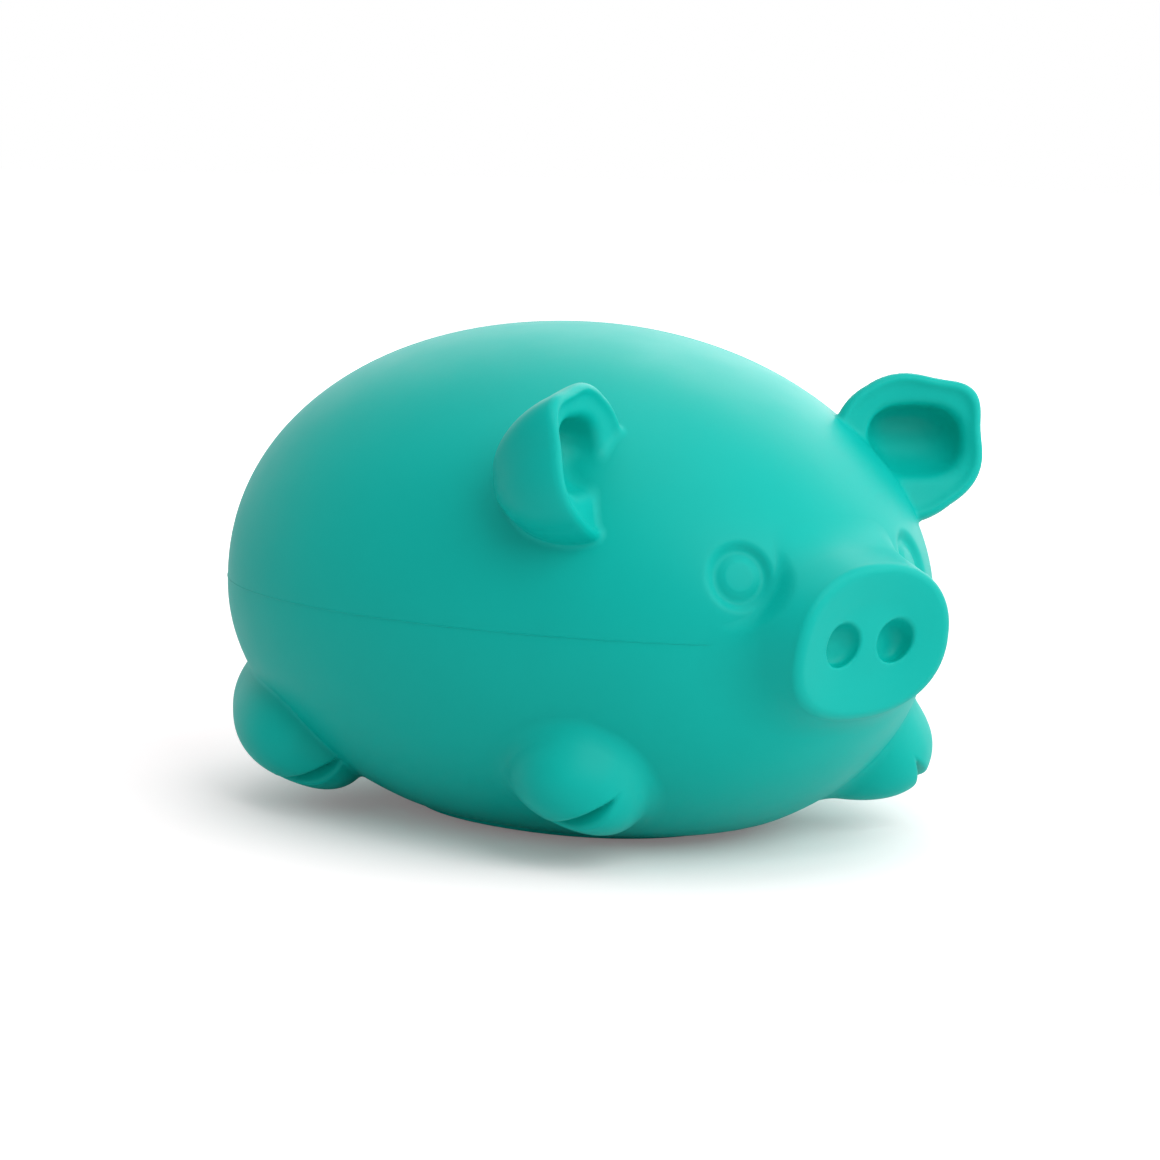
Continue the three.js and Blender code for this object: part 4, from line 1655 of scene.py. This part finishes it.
@dataclass
class BellySeal:
    """The filling, the plug in the fill hole and the thin patch glued over it.

    Attributes:
        edge: The radius of the patch's rounded edge.
        wall: The thickness of the skin.
        clearance: The gap between pieces that would otherwise touch.
        nostril_room: How far the dough is pressed in behind a nostril.
        nostril_below: How far that place is below the nostril.
    """

    patch_radius: float = Skin.patch_radius
    patch_thickness: float = 0.9
    patch_proud: float = Skin.patch_proud
    edge: float = 0.3
    centre_share: float = 0.06
    patch_rings: int = 20
    patch_sides: int = 160
    plug_radius: float = 4.7
    plug_core: float = 0.5
    plug_round: float = 0.3
    plug_sides: int = 48
    neck: float = 0.1
    barb: float = 1.5
    barb_thickness: float = 1.2
    barb_round: float = 0.2
    barb_edge: float = 0.5
    wall: float = 2.4
    clearance: float = 0.3
    dough_above: float = 0.3
    nostril_room: float = 2.6
    nostril_below: float = 1.5
    nostril_span: tuple[float, float] = (2.2, 3.8)

    def patch(self, finish: bpy.types.Material) -> bpy.types.Object:
        """Makes the patch, which lies against the belly and is flat where the toy rests.

        Args:
            finish: The material.

        Returns:
            The patch.
        """
        turns = np.linspace(0, 2 * math.pi, self.patch_sides, endpoint=False)
        radii = np.linspace(self.centre_share, 1, self.patch_rings)
        radii = radii * (self.patch_radius - self.edge)
        rings = [self.patch_ring(turns, radius, self.patch_proud, 0.0, 0.0) for radius in radii]
        for turn in np.radians([30, 60, 90]):
            radius = self.patch_radius - self.edge * (1 - math.sin(turn))
            rings.append(self.patch_ring(turns, radius, self.patch_proud, 0.0,
                                         self.edge * (1 - math.cos(turn))))
        buried = self.patch_thickness - self.patch_proud
        for radius in (self.patch_radius, *radii[::-3]):
            rings.append(self.patch_ring(turns, radius, -buried, self.patch_thickness, 0.0))
        centre = np.array([[0.0, 0.0, 0.0]])
        top = np.array([[0.0, 0.0, self.patch_thickness]])
        patch = mesh_object("belly_patch_film", *loft(centre, rings, top))
        patch.data.materials.append(finish)
        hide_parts("belly_patch")
        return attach(patch, "belly")

    @staticmethod
    def patch_ring(turns: np.ndarray, radius: float, grow: float, flat: float,
                   lift: float) -> Points:
        """A ring of the patch's skin.

        Args:
            turns: The angles of its points.
            radius: Its radius.
            grow: How far it lies outside the belly.
            flat: The height below which it doesn't go.
            lift: How far it is raised, to round the edge.

        Returns:
            The ring's points.
        """
        x, y = radius * np.cos(turns), radius * np.sin(turns)
        height = smooth_max(EGG.under_height(x, y, grow), np.full_like(x, flat), Skin.rest_softness)
        return np.column_stack([x, y, height + lift])

    def plug(self, finish: bpy.types.Material) -> bpy.types.Object:
        """Makes the barbed plug that closes the fill hole.

        Args:
            finish: The material.

        Returns:
            The plug.
        """
        low = self.patch_thickness + self.clearance
        behind = self.patch_proud + self.wall + self.clearance
        high = behind + self.barb_thickness
        stem, core = self.plug_radius, self.plug_radius * self.plug_core
        tip, soft, blunt = stem + self.barb, self.plug_round, self.barb_round
        shape = spline([(core, low), (stem - soft, low), (stem, low + soft),
                        (stem, behind - self.neck), (stem + soft, behind), (tip - blunt, behind),
                        (tip, behind + blunt), (tip, behind + self.barb_edge),
                        (stem + blunt, high), (core, high)], steps=3)
        turns = np.linspace(0, 2 * math.pi, self.plug_sides, endpoint=False)
        rings = [np.column_stack([r * np.cos(turns), r * np.sin(turns), np.full_like(turns, z)])
                 for r, z in shape]
        plug = mesh_object("fill_hole_plug", *loft(
            np.array([[0, 0, low]]), rings, np.array([[0, 0, high]])))
        plug.data.materials.append(finish)
        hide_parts("fill_plug")
        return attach(plug, "belly")

    def dough(self, rule: Rule, finish: bpy.types.Material) -> bpy.types.Object:
        """Grows the lump of filling that the skin is packed with.

        Args:
            rule: The egg's tree.
            finish: The material.

        Returns:
            The lump.
        """
        dough = mesh_object("dough_filling", *ball_mesh(BALL_LEVELS), unit=1)
        inset = (self.wall + self.clearance) * MM
        top = self.patch_proud + self.wall + 2 * self.clearance + self.barb_thickness
        rule.grow(dough, {
            "Half Length": EGG.half_length * MM - inset,
            "Half Width": EGG.half_width * MM - inset,
            "Back Height": EGG.back_height * MM - inset,
            "Belly Depth": EGG.belly_depth * MM - inset,
            "Flat Height": (top + self.dough_above) * MM}, finish)
        move(dough, self.room_behind_nostrils)
        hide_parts("filling")
        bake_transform(dough)
        return dough

    def room_behind_nostrils(self, points: Points) -> Points:
        """Points of the dough, pressed in a little behind each nostril.

        Args:
            points: The points, in millimetres.

        Returns:
            Their new places.
        """
        away = np.hypot(np.abs(points[:, 0]) - Snout.nostril_spacing / 2,
                        points[:, 2] - EGG.parting - Snout.rise + self.nostril_below)
        near = 1 - smooth_step(away, *self.nostril_span)
        hollow = self.nostril_room * near * (points[:, 1] < 0)
        return points + np.outer(hollow, (0, 1, 0))


# The studio


@dataclass(frozen=True)
class SoftLight:
    """A square soft light: its place and the place that it faces, in metres."""

    name: str
    place: tuple[float, float, float]
    aim: tuple[float, float, float]
    size: float
    power: float

    def build(self) -> None:
        """Adds the light to the scene."""
        data = bpy.data.lights.new(self.name, "AREA")
        data.shape = "SQUARE"
        data.size = self.size
        data.energy = self.power
        light = bpy.data.objects.new(self.name, data)
        bpy.context.scene.collection.objects.link(light)
        light.location = self.place
        direction = Vector(self.aim) - Vector(self.place)
        light.rotation_euler = direction.to_track_quat("-Z", "Y").to_euler()


@dataclass
class Studio:
    """The white sweep, the lights and the camera.

    Attributes:
        floor_glow: The floor's own light below the toy. It is kept lower than beside it, so that it
            paints a darker shadow there.
        beside_glow: The same beside it.
        beside: The distances from the middle between which it changes, in metres.
        far_glow: How much is added far away.
        world_light: The light from all round.
    """

    camera_place: tuple[float, float, float] = (-0.26042, -0.32064, 0.08282)
    camera_right: tuple[float, float, float] = (0.7811, -0.6235, 0.0320)
    camera_up: tuple[float, float, float] = (0.0583, 0.1238, 0.9906)
    camera_back: tuple[float, float, float] = (-0.6216, -0.7719, 0.1331)
    lens: float = 108.62
    sensor: float = 36.0
    clip: tuple[float, float] = (0.01, 20.0)
    floor_half: float = 3.0
    floor_colour: float = 0.8
    floor_roughness: float = 0.9
    # Less glow under the toy than beside it: a painted shadow under the toy
    floor_glow: float = 0.17
    beside_glow: float = 0.4
    beside: tuple[float, float] = (0.024, 0.056)
    # A pink tint in the glow, which paints out the teal of the light that the toy throws into its
    # shadow
    glow_colour: tuple[float, float, float] = (1.0, 0.86, 0.88)
    far_glow: float = 0.5
    far_floor: tuple[float, float] = (0.2, 0.6)
    world_light: float = 0.42
    lights: tuple[SoftLight, ...] = (
        SoftLight("key_light", (0.42, -0.44, 0.29), (0.0, 0.0, 0.02), 0.6, 1.65),
        SoftLight("front_light", (-0.05, -0.48, 0.42), (0.0, 0.0, 0.02), 0.4, 1.52),
        SoftLight("top_light", (0.0, 0.0, 0.64), (0.0, 0.0, 0.02), 0.5, 0.95),
        SoftLight("side_light", (0.55, 0.22, 0.30), (0.0, 0.0, 0.02), 0.5, 1.4),
        SoftLight("back_light", (0.3, 0.5, 0.35), (0.0, 0.0, 0.02), 0.4, 0.5),
    )

    def camera(self) -> None:
        """Adds the camera, at the photograph's viewing angle."""
        data = bpy.data.cameras.new("camera")
        data.sensor_fit = "HORIZONTAL"
        data.sensor_width = self.sensor
        data.lens = self.lens
        data.clip_start, data.clip_end = self.clip
        camera = bpy.data.objects.new("camera", data)
        bpy.context.scene.collection.objects.link(camera)
        turned = Matrix((self.camera_right, self.camera_up, self.camera_back)).transposed()
        camera.matrix_world = Matrix.Translation(self.camera_place) @ turned.to_4x4()
        bpy.context.scene.camera = camera

    @staticmethod
    def seen(tree: bpy.types.NodeTree) -> bpy.types.NodeSocket:
        """1 for rays that show the background itself: from the camera, or off glossy surfaces.

        Args:
            tree: The material's or the world's nodes.

        Returns:
            The output that holds the 1 or 0.
        """
        rays = tree.nodes.new("ShaderNodeLightPath").outputs
        total: bpy.types.NodeSocket = rays["Is Camera Ray"]
        for name in ("Is Glossy Ray", "Is Transmission Ray"):
            node = tree.nodes.new("ShaderNodeMath")
            node.operation = "MAXIMUM"
            feed(tree, node.inputs[0], total)
            feed(tree, node.inputs[1], rays[name])
            total = node.outputs[0]
        return total

    def world(self) -> None:
        """Lights the scene evenly and shows white behind it."""
        world = bpy.data.worlds.new("white_room")
        world.use_nodes = True
        tree = world.node_tree
        background = next(n for n in tree.nodes if n.type == "BACKGROUND")
        background.inputs["Color"].default_value = (1, 1, 1, 1)
        strength = tree.nodes.new("ShaderNodeMapRange")
        feed(tree, strength.inputs["Value"], self.seen(tree))
        strength.inputs["To Min"].default_value = self.world_light
        strength.inputs["To Max"].default_value = 1.0
        feed(tree, background.inputs["Strength"], strength.outputs[0])
        bpy.context.scene.world = world

    @staticmethod
    def ramp(tree: bpy.types.NodeTree, value: bpy.types.NodeSocket, span: tuple[float, float],
             levels: tuple[float, float]) -> bpy.types.NodeSocket:
        """A soft ramp over a value.

        Args:
            tree: The material's nodes.
            value: What it runs over.
            span: Where it starts and ends.
            levels: The level before and after it.

        Returns:
            The level at the value.
        """
        node = tree.nodes.new("ShaderNodeMapRange")
        node.interpolation_type = "SMOOTHSTEP"
        feed(tree, node.inputs["Value"], value)
        node.inputs["From Min"].default_value, node.inputs["From Max"].default_value = span
        node.inputs["To Min"].default_value, node.inputs["To Max"].default_value = levels
        return node.outputs[0]

    def floor(self) -> None:
        """Lays the pale floor, which keeps the toy's shadow. Its glow is lower under the toy, which
        paints the shadow darker there.
        """
        half = self.floor_half
        corners = np.array([(-half, -half, 0), (half, -half, 0), (half, half, 0), (-half, half, 0)])
        floor = mesh_object("floor", corners, [[0, 1, 2, 3]], unit=1)
        material = bpy.data.materials.new("white_floor")
        material.use_nodes = True
        tree = material.node_tree
        shader = next(n for n in tree.nodes if n.type == "BSDF_PRINCIPLED")
        shader.inputs["Base Color"].default_value = (*(self.floor_colour,) * 3, 1)
        shader.inputs["Roughness"].default_value = self.floor_roughness
        shader.inputs["Specular IOR Level"].default_value = 0.0
        # The pink glow paints out the teal light bounced from the toy into its shadow
        shader.inputs["Emission Color"].default_value = (*self.glow_colour, 1)
        away = tree.nodes.new("ShaderNodeVectorMath")
        away.operation = "LENGTH"
        feed(tree, away.inputs[0], tree.nodes.new("ShaderNodeTexCoord").outputs["Object"])
        # Less glow under the toy than beside it paints a darker shadow there
        level = self.ramp(tree, away.outputs["Value"], self.beside,
                          (self.floor_glow, self.beside_glow))
        far = self.ramp(tree, away.outputs["Value"], self.far_floor, (0.0, self.far_glow))
        total = tree.nodes.new("ShaderNodeMath")
        feed(tree, total.inputs[0], level)
        feed(tree, total.inputs[1], far)
        glow = tree.nodes.new("ShaderNodeMath")
        glow.operation = "MULTIPLY"
        feed(tree, glow.inputs[0], tree.nodes.new("ShaderNodeLightPath").outputs["Is Camera Ray"])
        feed(tree, glow.inputs[1], total.outputs[0])
        feed(tree, shader.inputs["Emission Strength"], glow.outputs[0])
        floor.data.materials.append(material)

    def build(self) -> None:
        """Sets up the whole studio."""
        self.camera()
        self.world()
        self.floor()
        for light in self.lights:
            light.build()
        bpy.context.scene.view_settings.view_transform = "Standard"


def main() -> None:
    """Builds the studio and the pig's pieces in order and reports each."""
    logging.basicConfig(level=logging.INFO, format="%(message)s")
    Studio().build()
    rubber = SoftRubber().material()
    film = SoftRubber(name="patch_rubber", roughness=(0.5, 0.6)).material()
    dough = SoftRubber(name="dough", colour=(0.80, 0.72, 0.55), deep_colour=(0.74, 0.66, 0.5),
                       roughness=(0.75, 0.9), specular=0.2).material()
    egg_rule = EGG.rule()
    skin, seal, ear = Skin(), BellySeal(), Ear()
    leaf = ear.right_mesh()
    pieces = [
        skin.build(egg_rule, rubber), skin.line(rubber), Snout().build(rubber),
        ear.build(Side.RIGHT, *leaf, rubber), ear.build(Side.LEFT, *leaf, rubber),
        Tail().build(rubber), seal.patch(film), seal.plug(rubber), seal.dough(egg_rule, dough)]
    for piece in pieces:
        LOG.info("%s: %d faces", piece.name, len(piece.data.polygons))
    Foot().build(rubber)
    Foot(name="rear_foot", behind_nose=69.3, angle=124.0, inside=(1.61, -2.55, 5.93),
         turned=7.6, fillet=0.5).build(rubber)


if __name__ == "__main__":
    main()
